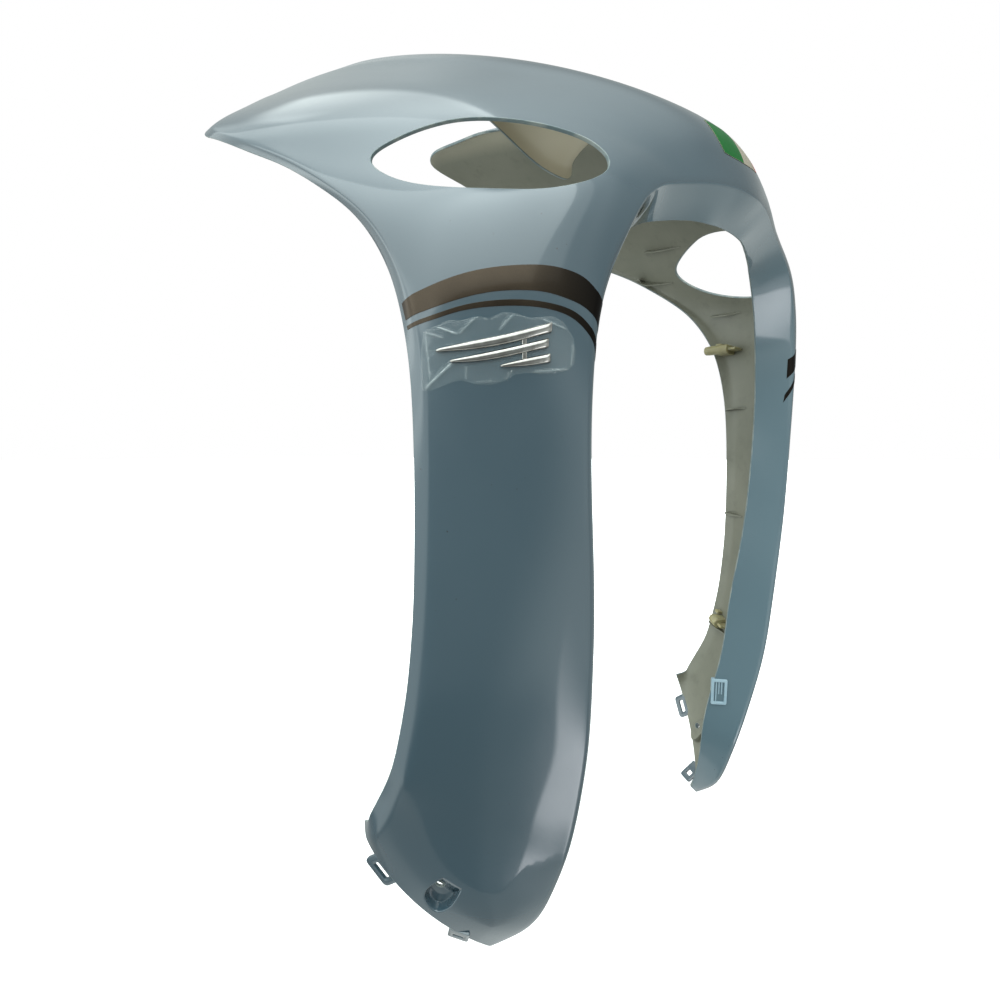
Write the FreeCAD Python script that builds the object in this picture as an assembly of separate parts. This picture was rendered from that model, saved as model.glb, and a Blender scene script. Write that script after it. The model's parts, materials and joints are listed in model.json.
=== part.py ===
import FreeCAD, Part
import bisect, math, os

os.makedirs("parts", exist_ok=True)

# Front cover of a motor scooter: one moulded plastic shell shaped like an upside-down U, with
# stuck-on stripes, a small tricolour sticker, a plain chromed ornament and a piece of clear film.
# Millimetres. X across (the rider's right is -X), Y to the rear, Z up.
# Origin: middle plane, at the depth of the legs' rear edge, at the height of the feet.

WALL = 2.5            # moulded wall thickness
LIP_W = 9.0           # width of the rolled strip along the outer edge
LIP_SLOPE = 0.42      # how steeply that strip turns inwards
LIP_R = 3.0           # softness of its bend
RIDGE_B = 6.0         # half width of the rounded ridge between side and flange
W_LIP, W_MAIN, W_CORNER = 0.12, 0.74, 0.82   # shares of the across parameter
LIP_ZONE = 14.0       # length of the first share

# Cross-sections of the right half, from the foot of the leg to the middle of the hood.
# Each row: outer edge, two shape points, ridge, inner edge; (distance from the middle plane, Y, Z).
STATIONS = [
    ((212.5, 50.0, 80.5), (209.1, 30.7, 44.9), (180.7, 9.3, 12.2), (149.0, -3.0, -6.8), (139.3, -1.6, 2.0)),
    ((218.0, 38.7, 85.4), (207.7, 29.2, 63.9), (171.3, -18.8, 21.9), (137.5, -25.0, 8.7), (129.0, -11.0, 24.0)),
    ((217.8, 28.4, 100.3), (199.0, 9.3, 81.1), (166.8, -26.1, 51.8), (133.0, -39.8, 34.8), (120.4, -18.1, 46.0)),
    ((217.7, 18.3, 118.3), (193.6, -7.1, 101.3), (164.7, -32.8, 82.5), (132.0, -50.7, 64.2), (116.4, -23.2, 74.0)),
    ((217.7, 11.2, 139.5), (192.1, -18.4, 127.6), (165.6, -40.9, 116.5), (135.5, -61.3, 103.0), (116.7, -30.1, 103.0)),
    ((217.7, 5.2, 165.6), (192.9, -24.9, 155.5), (167.6, -47.5, 147.5), (139.0, -68.0, 136.0), (120.0, -37.1, 136.0)),
    ((217.7, 1.2, 193.8), (194.6, -28.5, 187.4), (170.2, -52.4, 182.0), (142.5, -72.3, 175.0), (122.8, -41.3, 175.0)),
    ((217.8, -1.2, 221.9), (196.1, -30.3, 217.7), (172.7, -55.3, 213.6), (146.0, -75.1, 209.0), (125.6, -46.3, 209.0)),
    ((217.9, -2.2, 261.9), (197.9, -31.4, 258.3), (176.3, -57.3, 255.0), (152.0, -77.6, 252.0), (131.0, -51.2, 252.0)),
    ((217.9, -2.0, 289.9), (199.6, -31.7, 289.0), (178.9, -58.3, 287.2), (156.0, -78.7, 287.0), (134.7, -53.1, 287.0)),
    ((218.0, -0.8, 317.9), (202.3, -32.0, 318.7), (181.4, -59.8, 318.5), (158.0, -79.8, 320.0), (137.9, -54.0, 320.0)),
    ((218.1, 1.4, 341.9), (206.1, -32.3, 342.9), (183.9, -61.8, 344.1), (158.0, -80.9, 345.0), (138.5, -54.6, 345.0)),
    ((218.2, 5.9, 365.9), (211.5, -32.4, 366.5), (186.9, -64.7, 370.1), (156.3, -82.1, 369.0), (136.3, -55.5, 368.0)),
    ((218.3, 11.7, 385.9), (216.3, -31.9, 385.9), (189.2, -67.1, 392.1), (152.4, -83.4, 387.2), (130.8, -57.1, 387.5)),
    ((218.3, 19.5, 403.9), (219.4, -30.1, 403.7), (190.4, -69.0, 413.2), (146.1, -85.1, 403.7), (121.5, -59.8, 406.3)),
    ((218.3, 32.1, 423.0), (219.4, -25.6, 419.8), (189.6, -70.1, 433.3), (137.9, -86.8, 418.4), (111.8, -62.0, 420.8)),
    ((218.3, 51.9, 443.5), (213.4, -15.6, 434.5), (184.7, -70.2, 453.4), (127.1, -88.3, 434.7), (100.0, -64.5, 433.4)),
    ((217.8, 79.3, 463.5), (203.3, -1.1, 445.7), (175.8, -69.2, 468.0), (117.1, -88.7, 445.9), (89.2, -67.3, 440.4)),
    ((217.8, 114.2, 484.0), (196.0, 15.6, 460.8), (165.9, -67.7, 480.0), (107.8, -88.9, 452.7), (80.8, -70.0, 443.4)),
    ((217.9, 149.9, 499.9), (193.5, 30.8, 479.9), (157.5, -66.2, 489.9), (98.1, -89.3, 457.9), (73.1, -72.5, 445.2)),
    ((218.1, 178.2, 512.1), (192.2, 41.3, 495.5), (151.5, -65.3, 496.1), (90.8, -90.2, 460.3), (67.9, -74.1, 446.3)),
    ((215.7, 194.3, 520.2), (190.1, 47.4, 505.8), (147.3, -64.9, 499.5), (86.1, -91.0, 461.5), (64.5, -75.1, 447.0)),
    ((204.9, 202.2, 530.1), (186.7, 52.6, 515.3), (143.0, -64.8, 502.3), (82.1, -91.7, 462.5), (61.6, -76.0, 447.6)),
    ((168.2, 226.6, 555.4), (174.3, 64.2, 536.7), (132.3, -66.2, 508.6), (74.4, -93.1, 464.2), (56.0, -77.5, 448.5)),
    ((128.0, 253.5, 582.5), (156.6, 77.0, 558.0), (119.7, -71.8, 517.2), (66.2, -94.7, 465.9), (50.0, -79.2, 449.4)),
    ((100.0, 273.0, 600.8), (142.1, 83.9, 571.1), (108.1, -75.4, 523.8), (59.5, -96.2, 467.2), (44.7, -80.7, 450.1)),
    ((92.5, 266.0, 606.1), (135.3, 85.0, 576.1), (102.0, -77.2, 526.7), (55.3, -97.2, 467.9), (41.7, -81.4, 450.4)),
    ((88.0, 243.4, 608.9), (125.0, 83.8, 581.9), (92.3, -80.2, 530.8), (48.6, -98.8, 469.0), (36.9, -82.6, 450.7)),
    ((85.0, 212.2, 609.4), (111.2, 79.3, 586.3), (80.0, -83.6, 535.9), (41.1, -100.3, 470.0), (31.2, -83.9, 450.9)),
    ((82.0, 175.0, 607.5), (93.3, 71.6, 587.3), (67.1, -86.2, 541.8), (34.0, -101.6, 470.7), (25.9, -84.7, 451.1)),
    ((73.0, 136.0, 592.0), (71.6, 60.7, 585.1), (53.9, -88.5, 546.5), (27.0, -102.8, 471.2), (20.6, -85.0, 451.5)),
    ((57.0, 97.0, 566.0), (48.0, 47.0, 580.9), (39.0, -91.1, 549.3), (20.0, -104.0, 471.3), (15.5, -85.1, 451.9)),
    ((38.0, 71.5, 538.0), (27.8, 36.1, 577.5), (23.6, -93.4, 551.1), (12.9, -105.1, 471.1), (10.0, -85.2, 452.2)),
    ((18.0, 60.5, 521.5), (12.2, 30.7, 575.9), (10.5, -94.8, 552.1), (5.9, -105.9, 470.8), (4.8, -85.2, 452.3)),
    ((0.0, 57.0, 517.5), (0.0, 29.4, 575.5), (0.0, -95.2, 552.3), (0.0, -106.2, 470.7), (0.0, -85.2, 452.3)),

]


def v_add(a, b): return (a[0] + b[0], a[1] + b[1], a[2] + b[2])
def v_sub(a, b): return (a[0] - b[0], a[1] - b[1], a[2] - b[2])
def v_mul(a, k): return (a[0] * k, a[1] * k, a[2] * k)
def v_dot(a, b): return a[0] * b[0] + a[1] * b[1] + a[2] * b[2]
def v_len(a): return math.sqrt(v_dot(a, a))
def v_mix(a, b, k): return (a[0] + (b[0] - a[0]) * k, a[1] + (b[1] - a[1]) * k, a[2] + (b[2] - a[2]) * k)
def v_cross(a, b):
    return (a[1] * b[2] - a[2] * b[1], a[2] * b[0] - a[0] * b[2], a[0] * b[1] - a[1] * b[0])
def v_unit(a):
    k = v_len(a) or 1.0
    return (a[0] / k, a[1] / k, a[2] / k)


class Spline:
    """Natural cubic spline through rows of numbers."""

    def __init__(self, ts, rows):
        n, m = len(ts), len(rows[0])
        h = [ts[i + 1] - ts[i] for i in range(n - 1)]
        self.t, self.y, self.h = ts, rows, h
        sec = [[0.0] * m for _ in range(n)]
        c = [0.0] * n
        d = [[0.0] * m for _ in range(n)]
        for i in range(1, n - 1):
            den = 2.0 * (h[i - 1] + h[i]) - h[i - 1] * c[i - 1]
            c[i] = h[i] / den
            for j in range(m):
                r = 6.0 * ((rows[i + 1][j] - rows[i][j]) / h[i] - (rows[i][j] - rows[i - 1][j]) / h[i - 1])
                d[i][j] = (r - h[i - 1] * d[i - 1][j]) / den
        for i in range(n - 2, 0, -1):
            for j in range(m):
                sec[i][j] = d[i][j] - c[i] * sec[i + 1][j]
        self.s = sec

    def __call__(self, t):
        i = min(max(bisect.bisect_right(self.t, t) - 1, 0), len(self.h) - 1)
        h = self.h[i]
        a = (self.t[i + 1] - t) / h
        b = 1.0 - a
        p, q = (a ** 3 - a) * h * h / 6.0, (b ** 3 - b) * h * h / 6.0
        y0, y1, s0, s1 = self.y[i], self.y[i + 1], self.s[i], self.s[i + 1]
        return [a * y0[j] + b * y1[j] + p * s0[j] + q * s1[j] for j in range(len(y0))]


def build_spline():
    tau = [0.0]
    for a, b in zip(STATIONS[:-1], STATIONS[1:]):
        tau.append(tau[-1] + 0.5 * v_len(v_sub(b[0], a[0])) + 0.5 * v_len(v_sub(b[3], a[3])) + 4.0)
    rows = [[c for (h, y, z) in s for c in (-h, y, z)] for s in STATIONS]
    rows += [[c for (h, y, z) in s for c in (h, y, z)] for s in reversed(STATIONS[:-1])]
    ts = tau + [2.0 * tau[-1] - t for t in reversed(tau[:-1])]
    return Spline(ts, rows), ts, tau[-1]


SPL, TAUS, T_MID = build_spline()
N_ARC = 40


class Section:
    """One cross-section of the outer surface at a place along the cover."""

    def __init__(self, tau):
        r = SPL(tau)
        self.b, self.q2, self.q1, self.r, self.a = [tuple(r[3 * i:3 * i + 3]) for i in range(5)]
        pts = [self.bez(i / N_ARC) for i in range(N_ARC + 1)]
        self.s = [0.0]
        for p, q in zip(pts[:-1], pts[1:]):
            self.s.append(self.s[-1] + v_len(v_sub(q, p)))
        self.main = self.s[-1]
        self.flange = v_len(v_sub(self.a, self.r))
        self.cut = min(RIDGE_B, 0.35 * self.flange)

    def bez(self, t):
        u = 1.0 - t
        k = (u * u * u, 3 * t * u * u, 3 * t * t * u, t * t * t)
        c = (self.b, self.q2, self.q1, self.r)
        return tuple(sum(k[i] * c[i][j] for i in range(4)) for j in range(3))

    def at_len(self, s):
        s = min(max(s, 0.0), self.main)
        i = min(bisect.bisect_right(self.s, s) - 1, N_ARC - 1)
        f = (s - self.s[i]) / ((self.s[i + 1] - self.s[i]) or 1.0)
        return self.bez((i + f) / N_ARC)

    def arc(self, w):
        """Length from the outer edge for an across parameter on the side panel."""
        if w <= W_LIP:
            return LIP_ZONE * w / W_LIP
        return LIP_ZONE + (self.main - self.cut - LIP_ZONE) * (w - W_LIP) / (W_MAIN - W_LIP)

    def raw(self, w):
        if w <= W_MAIN:
            return self.at_len(self.arc(w))
        f0 = self.cut / self.flange
        if w <= W_CORNER:
            k = (w - W_MAIN) / (W_CORNER - W_MAIN)
            p, q = self.at_len(self.main - self.cut), v_mix(self.r, self.a, f0)
            return v_mix(v_mix(p, self.r, k), v_mix(self.r, q, k), k)
        return v_mix(self.r, self.a, f0 + (1.0 - f0) * (w - W_CORNER) / (1.0 - W_CORNER))

    def lip(self, w):
        """How far the rolled edge turns in at this place."""
        if w >= 0.3:
            return 0.0
        d = LIP_W - self.arc(w)
        return LIP_SLOPE * 0.5 * (d + math.sqrt(d * d + LIP_R * LIP_R))


def section_grid(taus, ws):
    """Outer points and outward unit normals, taus x ws."""
    e = 0.6
    pts, nrm = [], []
    for t in taus:
        t0, t1 = max(t - e, 0.0), min(t + e, 2.0 * T_MID)
        s, s0, s1 = Section(t), Section(t0), Section(t1)
        rp, rn = [], []
        for w in ws:
            w0, w1 = max(w - 0.004, 0.0), min(w + 0.004, 1.0)
            n = v_unit(v_cross(v_sub(s.raw(w1), s.raw(w0)), v_sub(s1.raw(w), s0.raw(w))))
            rp.append(s.raw(w))
            rn.append(n)
        rp = [v_add(p, v_mul(n, -s.lip(w))) for p, n, w in zip(rp, rn, ws)]
        pts.append(rp)
        nrm.append(rn)
    return pts, nrm


# ---------------------------------------------------------------- driving dimensions of the details
OPEN_PTS = [(0.288, 561.0), (0.260, 542.0), (0.273, 522.9), (0.330, 507.7), (0.424, 497.6), (0.535, 496.0),
            (0.620, 510.7), (0.658, 533.5), (0.665, 560.0), (0.645, 596.6), (0.586, 623.2), (0.545, 624.9),
            (0.497, 620.2), (0.447, 607.8), (0.353, 581.1)]      # indicator opening, on the shoulder
STRIPE_WIDE_UP = [(0.030, 420.3), (0.154, 426.7), (0.278, 432.6), (0.381, 435.4), (0.479, 436.3), (0.553, 436.3),
                  (0.633, 434.1), (0.692, 430.0), (0.755, 421.5), (0.828, 413.0)]
STRIPE_WIDE_LO = [(0.030, 409.4), (0.131, 412.9), (0.263, 417.9), (0.375, 420.9), (0.481, 421.3), (0.562, 420.1),
                  (0.651, 416.0), (0.714, 411.2), (0.770, 403.2), (0.832, 393.5)]
STRIPE_THIN_UP = [(0.030, 405.5), (0.161, 409.8), (0.287, 414.3), (0.399, 415.8), (0.508, 415.2), (0.593, 412.9),
                  (0.688, 406.9), (0.765, 394.8), (0.838, 377.8)]
STRIPE_THIN_LO = [(0.030, 403.3), (0.158, 407.1), (0.284, 411.3), (0.397, 412.3), (0.508, 411.6), (0.595, 409.2),
                  (0.692, 401.8), (0.765, 389.3), (0.844, 370.4)]
FLAG_LEFT = [(0.580, 904.0), (0.692, 864.7)]                      # small tricolour sticker on the brow
FLAG_RIGHT = [(0.580, 993.6), (0.692, 984.6)]
FILM_UP = [(0.071, 375.3), (0.206, 376.3), (0.331, 377.8), (0.384, 375.3), (0.553, 375.3), (0.630, 376.3)]
FILM_LO = [(0.071, 363.8), (0.206, 363.3), (0.331, 365.3), (0.384, 366.3), (0.553, 369.3), (0.630, 370.3)]
BARS = [([(0.158, 389.2), (0.292, 392.4), (0.441, 396.0), (0.591, 401.8)],
         [(0.158, 387.2), (0.292, 387.4), (0.441, 390.2), (0.591, 395.7)]),
        ([(0.206, 382.0), (0.325, 384.8), (0.476, 388.8), (0.582, 392.4)],
         [(0.206, 380.2), (0.325, 380.2), (0.476, 383.6), (0.582, 386.8)]),
        ([(0.399, 377.7), (0.495, 380.8), (0.591, 383.4)],
         [(0.399, 376.1), (0.495, 376.2), (0.591, 378.0)])]       # three plain tapering bars
LINK = ([(0.483, 395.8), (0.501, 396.2)], [(0.483, 378.8), (0.501, 379.2)])    # web that joins them
FRAME_Y, FRAME_Z = 84.45, -5.56       # middle of the cover's depth, and its lowest level
DECAL_GAP, DECAL_T = 0.05, 0.20       # sticker height above the paint, and thickness
FILM_T = 0.15                         # clear film thickness
EMBLEM_T = 2.2                        # chromed trim height
SCREW_R = 2.75                        # screw hole radius
SCREW_SEAT = 2.5                      # length of the screw hole's wall
SEAT_R = 6.6                          # screw seat recess radius
SEAT_DEPTH = 6.0                      # depth of that recess below the outer face
POST_R = 4.2                          # moulded peg radius


def vec(p): return FreeCAD.Vector(*p)


def linspace(a, b, n): return [a + (b - a) * i / (n - 1) for i in range(n)]


def basis(knots, n, x):
    """First index and the four cubic basis values at x."""
    k = min(max(bisect.bisect_right(knots, x) - 1, 3), n - 1)
    vals = [1.0]
    for d in range(1, 4):
        nxt = [0.0] * (d + 1)
        for r in range(d):
            lo, hi = knots[k - d + 1 + r], knots[k + 1 + r]
            t = vals[r] / (hi - lo)
            nxt[r] += (hi - x) * t
            nxt[r + 1] += (x - lo) * t
        vals = nxt
    return k - 3, vals


def spline_poles(params, rows):
    """Poles and knots of the cubic through the rows of points at the given parameters."""
    n = len(params)
    knots = [params[0]] * 4 + [sum(params[i + 1:i + 4]) / 3.0 for i in range(n - 4)] + [params[-1]] * 4
    mat = []
    for x in params:
        row = [0.0] * n
        first, vals = basis(knots, n, x)
        for q in range(4):
            row[first + q] = vals[q]
        mat.append(row)
    res = [[list(p) for p in row] for row in rows]
    m = len(res[0])
    for i in range(n):
        for r in range(i + 1, min(i + 5, n)):
            if mat[r][i]:
                g = mat[r][i] / mat[i][i]
                for c in range(i, min(i + 8, n)):
                    mat[r][c] -= g * mat[i][c]
                for q in range(m):
                    for k in range(3):
                        res[r][q][k] -= g * res[i][q][k]
    for i in range(n - 1, -1, -1):
        for c in range(i + 1, min(i + 8, n)):
            g = mat[i][c]
            if g:
                for q in range(m):
                    for k in range(3):
                        res[i][q][k] -= g * res[c][q][k]
        for q in range(m):
            for k in range(3):
                res[i][q][k] /= mat[i][i]
    return res, knots


def surface(points, pu, pv):
    """Cubic spline surface through a grid of points at the parameters pu and pv."""
    half, ku = spline_poles(pu, points)
    full, kv = spline_poles(pv, [list(c) for c in zip(*half)])
    poles = [[vec(p) for p in col] for col in zip(*full)]
    uk, vk = sorted(set(ku)), sorted(set(kv))
    s = Part.BSplineSurface()
    s.buildFromPolesMultsKnots(poles, [ku.count(x) for x in uk], [kv.count(x) for x in vk], uk, vk,
                               False, False, 3, 3)
    return s


def patch_solid(outer, inner, pu, pv, us=None, vs=None):
    """Closed solid between two point grids, its faces divided at us and vs."""
    s1, s2 = surface(outer, pu, pv), surface(inner, pu, pv)
    us, vs = us or [pu[0], pu[-1]], vs or [pv[0], pv[-1]]
    faces = []
    for s in (s1, s2):
        for a, b in zip(us[:-1], us[1:]):
            for c, d in zip(vs[:-1], vs[1:]):
                q = s.copy()
                q.segment(a, b, c, d)
                faces.append(q.toShape())
    def wall(c1, c2, a, b):
        c1.segment(a, b)
        c2.segment(a, b)
        faces.append(Part.makeRuledSurface(Part.Edge(c1), Part.Edge(c2), 1))
    for a, b in zip(us[:-1], us[1:]):
        for v in (vs[0], vs[-1]):
            wall(s1.vIso(v), s2.vIso(v), a, b)
    for c, d in zip(vs[:-1], vs[1:]):
        for u in (us[0], us[-1]):
            wall(s1.uIso(u), s2.uIso(u), c, d)
    shell = Part.makeShell(faces)
    shell.sewShape()
    solid = Part.makeSolid(shell)
    if solid.Volume < 0:
        solid.reverse()
    return solid


def frame_at(w, tau):
    """Outer point, unit directions across and along, outward normal."""
    pts, nrm = section_grid([tau], [w])
    n = nrm[0][0]
    a = section_grid([tau], [max(w - 0.01, 0.0)])[0][0][0]
    b = section_grid([tau], [min(w + 0.01, 1.0)])[0][0][0]
    ew = v_sub(b, a)
    ew = v_unit(v_sub(ew, v_mul(n, v_dot(ew, n))))
    return pts[0][0], ew, v_cross(n, ew), n


def block(origin, ex, ey, ez, lo, hi):
    """Box from lo to hi along three unit directions."""
    box = Part.makeBox(hi[0] - lo[0], hi[1] - lo[1], hi[2] - lo[2], FreeCAD.Vector(*lo))
    m = FreeCAD.Matrix(ex[0], ey[0], ez[0], origin[0], ex[1], ey[1], ez[1], origin[1],
                       ex[2], ey[2], ez[2], origin[2], 0, 0, 0, 1)
    box.Placement = FreeCAD.Placement(m)
    return box


def rod(p, d, r, a, b):
    """Cylinder along d from a to b measured from p."""
    return Part.makeCylinder(r, b - a, vec(v_add(p, v_mul(d, a))), vec(d))


def mirrored(shape):
    return shape.mirror(FreeCAD.Vector(0, 0, 0), FreeCAD.Vector(1, 0, 0))


def edge_at(pts, w):
    """Place along the cover of a sticker's edge at the place w across it."""
    for (w0, t0), (w1, t1) in zip(pts[:-1], pts[1:]):
        if w <= w1:
            return t0 + (t1 - t0) * (w - w0) / (w1 - w0)
    return pts[-1][1]


def strip(up, lo, n_across, n_along, low, high):
    """Thin sheet on the cover between two edges given as (across, along) places."""
    top, bot, pu = [], [], []
    for i in range(n_across):
        f = i / (n_across - 1)
        w = up[0][0] + (up[-1][0] - up[0][0]) * f
        a, b = edge_at(lo, w), edge_at(up, w)
        row_t, row_b = [], []
        for j in range(n_along):
            g = j / (n_along - 1)
            p, n = section_grid([a + (b - a) * g], [w])
            row_t.append(v_add(p[0][0], v_mul(n[0][0], high)))
            row_b.append(v_add(p[0][0], v_mul(n[0][0], low)))
        top.append(row_t)
        bot.append(row_b)
        pu.append(float(i))
    cut = [pu[k] for k in range(0, n_across, 8)]
    if cut[-1] != pu[-1]:
        cut[-1] = pu[-1]
    return patch_solid(top, bot, pu, [float(j) for j in range(n_along)], cut)


# ---------------------------------------------------------------- the moulded shell
W_GRID = [0.0, 0.025, 0.045, 0.062, 0.077, 0.09, 0.1, 0.11, 0.13, 0.17, 0.23, 0.29, 0.35, 0.41, 0.47, 0.53, 0.59,
          0.645, 0.69, 0.72, 0.74, 0.757, 0.773, 0.789, 0.805, 0.82, 0.835, 0.86, 0.90, 0.95, 1.0]
W_CUTS = (0, 8, 14, 20, 25, 30)       # rows of W_GRID where the faces are divided
T_GRID = []
for t0, t1 in zip(TAUS[:-1], TAUS[1:]):
    T_GRID += [t0, 0.5 * (t0 + t1)]
T_GRID.append(TAUS[-1])
T_CUTS = [TAUS[i] for i in range(0, len(TAUS) - 4, 5)] + [TAUS[-1]]

outer, normals = section_grid(T_GRID, W_GRID)
inner = [[v_add(p, v_mul(n, -WALL)) for p, n in zip(r, q)] for r, q in zip(outer, normals)]
ACROSS = [0.0]                        # mean distance across the cover, for each row of W_GRID
for j in range(1, len(W_GRID)):
    ACROSS.append(ACROSS[-1] + sum(v_len(v_sub(r[j], r[j - 1])) for r in outer) / len(outer))
shell = patch_solid(outer, inner, T_GRID, ACROSS, T_CUTS, [ACROSS[i] for i in W_CUTS])
print("bare shell", shell.isValid(), round(shell.Volume), len(shell.Faces))

adds, cuts, places = [], [], []

# Indicator openings: one smooth almond through the shoulder on each side.
ring = [section_grid([t], [w])[0][0][0] for w, t in OPEN_PTS]
mid = v_mul(tuple(sum(p[k] for p in ring) for k in range(3)), 1.0 / len(ring))
open_n = (0.0, 0.0, 0.0)
for p, q in zip(ring, ring[1:] + ring[:1]):
    open_n = v_add(open_n, v_cross(v_sub(p, mid), v_sub(q, mid)))
open_n = v_unit(open_n)
if open_n[0] > 0:
    open_n = v_mul(open_n, -1.0)
flat = [v_sub(p, v_mul(open_n, v_dot(v_sub(p, mid), open_n) + 45.0)) for p in ring]
curve = Part.BSplineCurve()
curve.interpolate([vec(p) for p in flat], PeriodicFlag=True)
cuts.append(Part.Face(Part.Wire(curve.toShape())).extrude(vec(v_mul(open_n, 90.0))))

# Screw seat near the foot: a round recess with a through hole.
seat_p, seat_w, seat_t, seat_n = frame_at(0.387, 21.5)
adds.append(rod(seat_p, seat_n, SEAT_R + WALL, -(SEAT_DEPTH + SCREW_SEAT), -1.2))
cuts.append(rod(seat_p, seat_n, SEAT_R, -SEAT_DEPTH, 12.0))
cuts.append(rod(seat_p, seat_n, SCREW_R, -30.0, 1.0))
places.append(("screw hole", v_add(seat_p, v_mul(seat_n, -SEAT_DEPTH)), seat_n))

# Hook tab with a slot, in line with the wall, at the foot's edge near the rear corner.
edge_p, tab_w, tab_t, tab_n = frame_at(0.23, 0.0)
tab_d = v_mul(tab_t, -1.0)
tab_z = v_cross(tab_w, tab_d)
tab_p = v_add(v_add(edge_p, v_mul(tab_w, -1.6)), v_add(v_mul(tab_n, -1.6), v_mul(tab_t, 0.6)))
hook = block(tab_p, tab_w, tab_d, tab_z, (-10.6, -1.2, -1.2), (10.6, 10.6, 1.2))
tips = [e for e in hook.Edges if abs(e.Length - 2.4) < 0.01
        and v_dot(v_sub(tuple(e.CenterOfMass), tab_p), tab_d) > 5.0]
hook = hook.makeFillet(3.0, tips)
adds.append(hook)
cuts.append(block(tab_p, tab_w, tab_d, tab_z, (-5.6, 2.2, -4.0), (6.2, 6.6, 4.0)))
places.append(("hook slot", v_add(tab_p, v_add(v_mul(tab_w, 0.3), v_mul(tab_d, 4.4))), v_mul(tab_z, -1.0)))

# Low tab at the foot, behind the tip.
low_p, low_w, low_t, low_n = frame_at(0.60, 0.0)
low_d = v_unit(v_sub((-161.0, 17.0, -4.0), low_p))
low_e = v_unit(v_cross(low_d, v_unit(v_cross(low_w, low_d))))
low_z = v_unit(v_cross(low_d, low_e))
low = block(v_add(low_p, v_mul(low_n, -1.3)), low_d, low_e, low_z, (-2.0, -6.5, -1.2), (15.5, 6.8, 1.2))
adds.append(low)
cuts.append(block(v_add(low_p, v_mul(low_n, -1.3)), low_d, low_e, low_z, (6.6, -3.2, -6.0), (10.8, 3.2, 6.0)))

# Stiffening ribs across the rear edge, on the inside.
for tau, w0, w1, tall in ((544.0, 0.05, 0.24, 6.0), (372.0, 0.02, 0.20, 6.0), (253.0, 0.02, 0.20, 6.0),
                          (118.0, 0.04, 0.22, 7.0), (603.0, 0.32, 0.40, 4.0), (484.0, 0.17, 0.30, 4.5)):
    p, ew, et, n = frame_at(0.5 * (w0 + w1), tau)
    a = section_grid([tau], [w0])[0][0][0]
    b = section_grid([tau], [w1])[0][0][0]
    half = 0.5 * v_len(v_sub(b, a))
    adds.append(block(p, ew, et, n, (-half, -1.0, -WALL - tall), (half, 1.0, -WALL + 1.2)))

# Round pegs beside the rear edge, each on a cross of ribs.
for tau, w, deep, long in ((438.0, 0.115, 15.0, 14.5), (128.0, 0.125, 8.0, 5.0)):
    p, ew, et, n = frame_at(w, tau)
    base = v_add(p, v_mul(n, -WALL - deep))
    back = v_mul(ew, -1.0)
    adds.append(rod(base, back, POST_R, -9.0, long))
    adds.append(block(base, ew, et, n, (-8.0, -1.1, -1.0), (16.0, 1.1, deep + 1.2)))
    adds.append(block(base, ew, et, n, (-4.0, -POST_R, 0.0), (8.0, POST_R, deep + 1.2)))
    places.append(("peg tip", v_add(base, v_mul(back, long)), back))

# Clip socket on the flange's inner edge, low on the leg.
sock_p, sock_w, sock_t, sock_n = frame_at(0.966, 115.0)
adds.append(block(sock_p, sock_w, sock_t, sock_n, (-7.0, -11.0, -5.0), (6.0, 11.0, 1.2)))
cuts.append(block(sock_p, sock_w, sock_t, sock_n, (-4.6, -8.4, -3.0), (3.6, 8.4, 6.0)))
cuts.append(block(sock_p, sock_w, sock_t, sock_n, (-3.4, -7.0, -12.0), (-0.8, -2.5, 6.0)))

# Notch in the rear end of the shoulder.
notch_p, notch_w, notch_t, notch_n = frame_at(0.0, 683.8)
cuts.append(block(notch_p, notch_w, notch_t, notch_n, (-6.0, -2.5, -12.0), (4.0, 2.5, 12.0)))

solid = shell.multiFuse(adds + [mirrored(s) for s in adds])
print("fused", solid.isValid(), round(solid.Volume), len(solid.Solids))
solid = solid.cut(cuts + [mirrored(s) for s in cuts])
print("cut", solid.isValid(), round(solid.Volume), len(solid.Solids))
bodies = sorted(solid.Solids, key=lambda s: -s.Volume)
print([round(s.Volume, 2) for s in bodies[:6]])
cover = bodies[0]

# ---------------------------------------------------------------- stickers and trim
wide = strip(STRIPE_WIDE_UP, STRIPE_WIDE_LO, 41, 5, DECAL_GAP, DECAL_GAP + DECAL_T)
thin = strip(STRIPE_THIN_UP, STRIPE_THIN_LO, 41, 5, DECAL_GAP, DECAL_GAP + DECAL_T)
right = Part.makeCompound([wide, thin])
left = Part.makeCompound([mirrored(wide), mirrored(thin)])

flag = strip(FLAG_LEFT, FLAG_RIGHT, 9, 33, DECAL_GAP, DECAL_GAP + DECAL_T)
film = strip(FILM_UP, FILM_LO, 33, 9, DECAL_GAP, DECAL_GAP + FILM_T)
bars = [strip(up, lo, 17, 5, DECAL_GAP, DECAL_GAP + EMBLEM_T) for up, lo in BARS]
bars.append(strip(LINK[0], LINK[1], 9, 17, DECAL_GAP + 0.3, DECAL_GAP + 0.55 * EMBLEM_T))
emblem = bars[0].multiFuse(bars[1:])
print("emblem", emblem.isValid(), len(emblem.Solids))

out = [("front_cover_shell", cover), ("stripe_decals_right", right), ("stripe_decals_left", left),
       ("flag_decal", flag), ("emblem_right", emblem), ("emblem_film_right", film)]
for name, shape in out:
    shape = shape.copy()
    shape.translate(FreeCAD.Vector(0.0, -FRAME_Y, -FRAME_Z))
    b = shape.BoundBox
    print(name, shape.isValid(), len(shape.Solids), round(shape.Volume, 1),
          [round(v, 2) for v in (b.XMin, b.XMax, b.YMin, b.YMax, b.ZMin, b.ZMax)])
    shape.exportStep("parts/" + name + ".step")
for name, p, d in places:
    print(name, [round(x, 4) for x in (p[0], p[1] - FRAME_Y, p[2] - FRAME_Z)], [round(x, 7) for x in d])
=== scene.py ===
import json
import math

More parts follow.
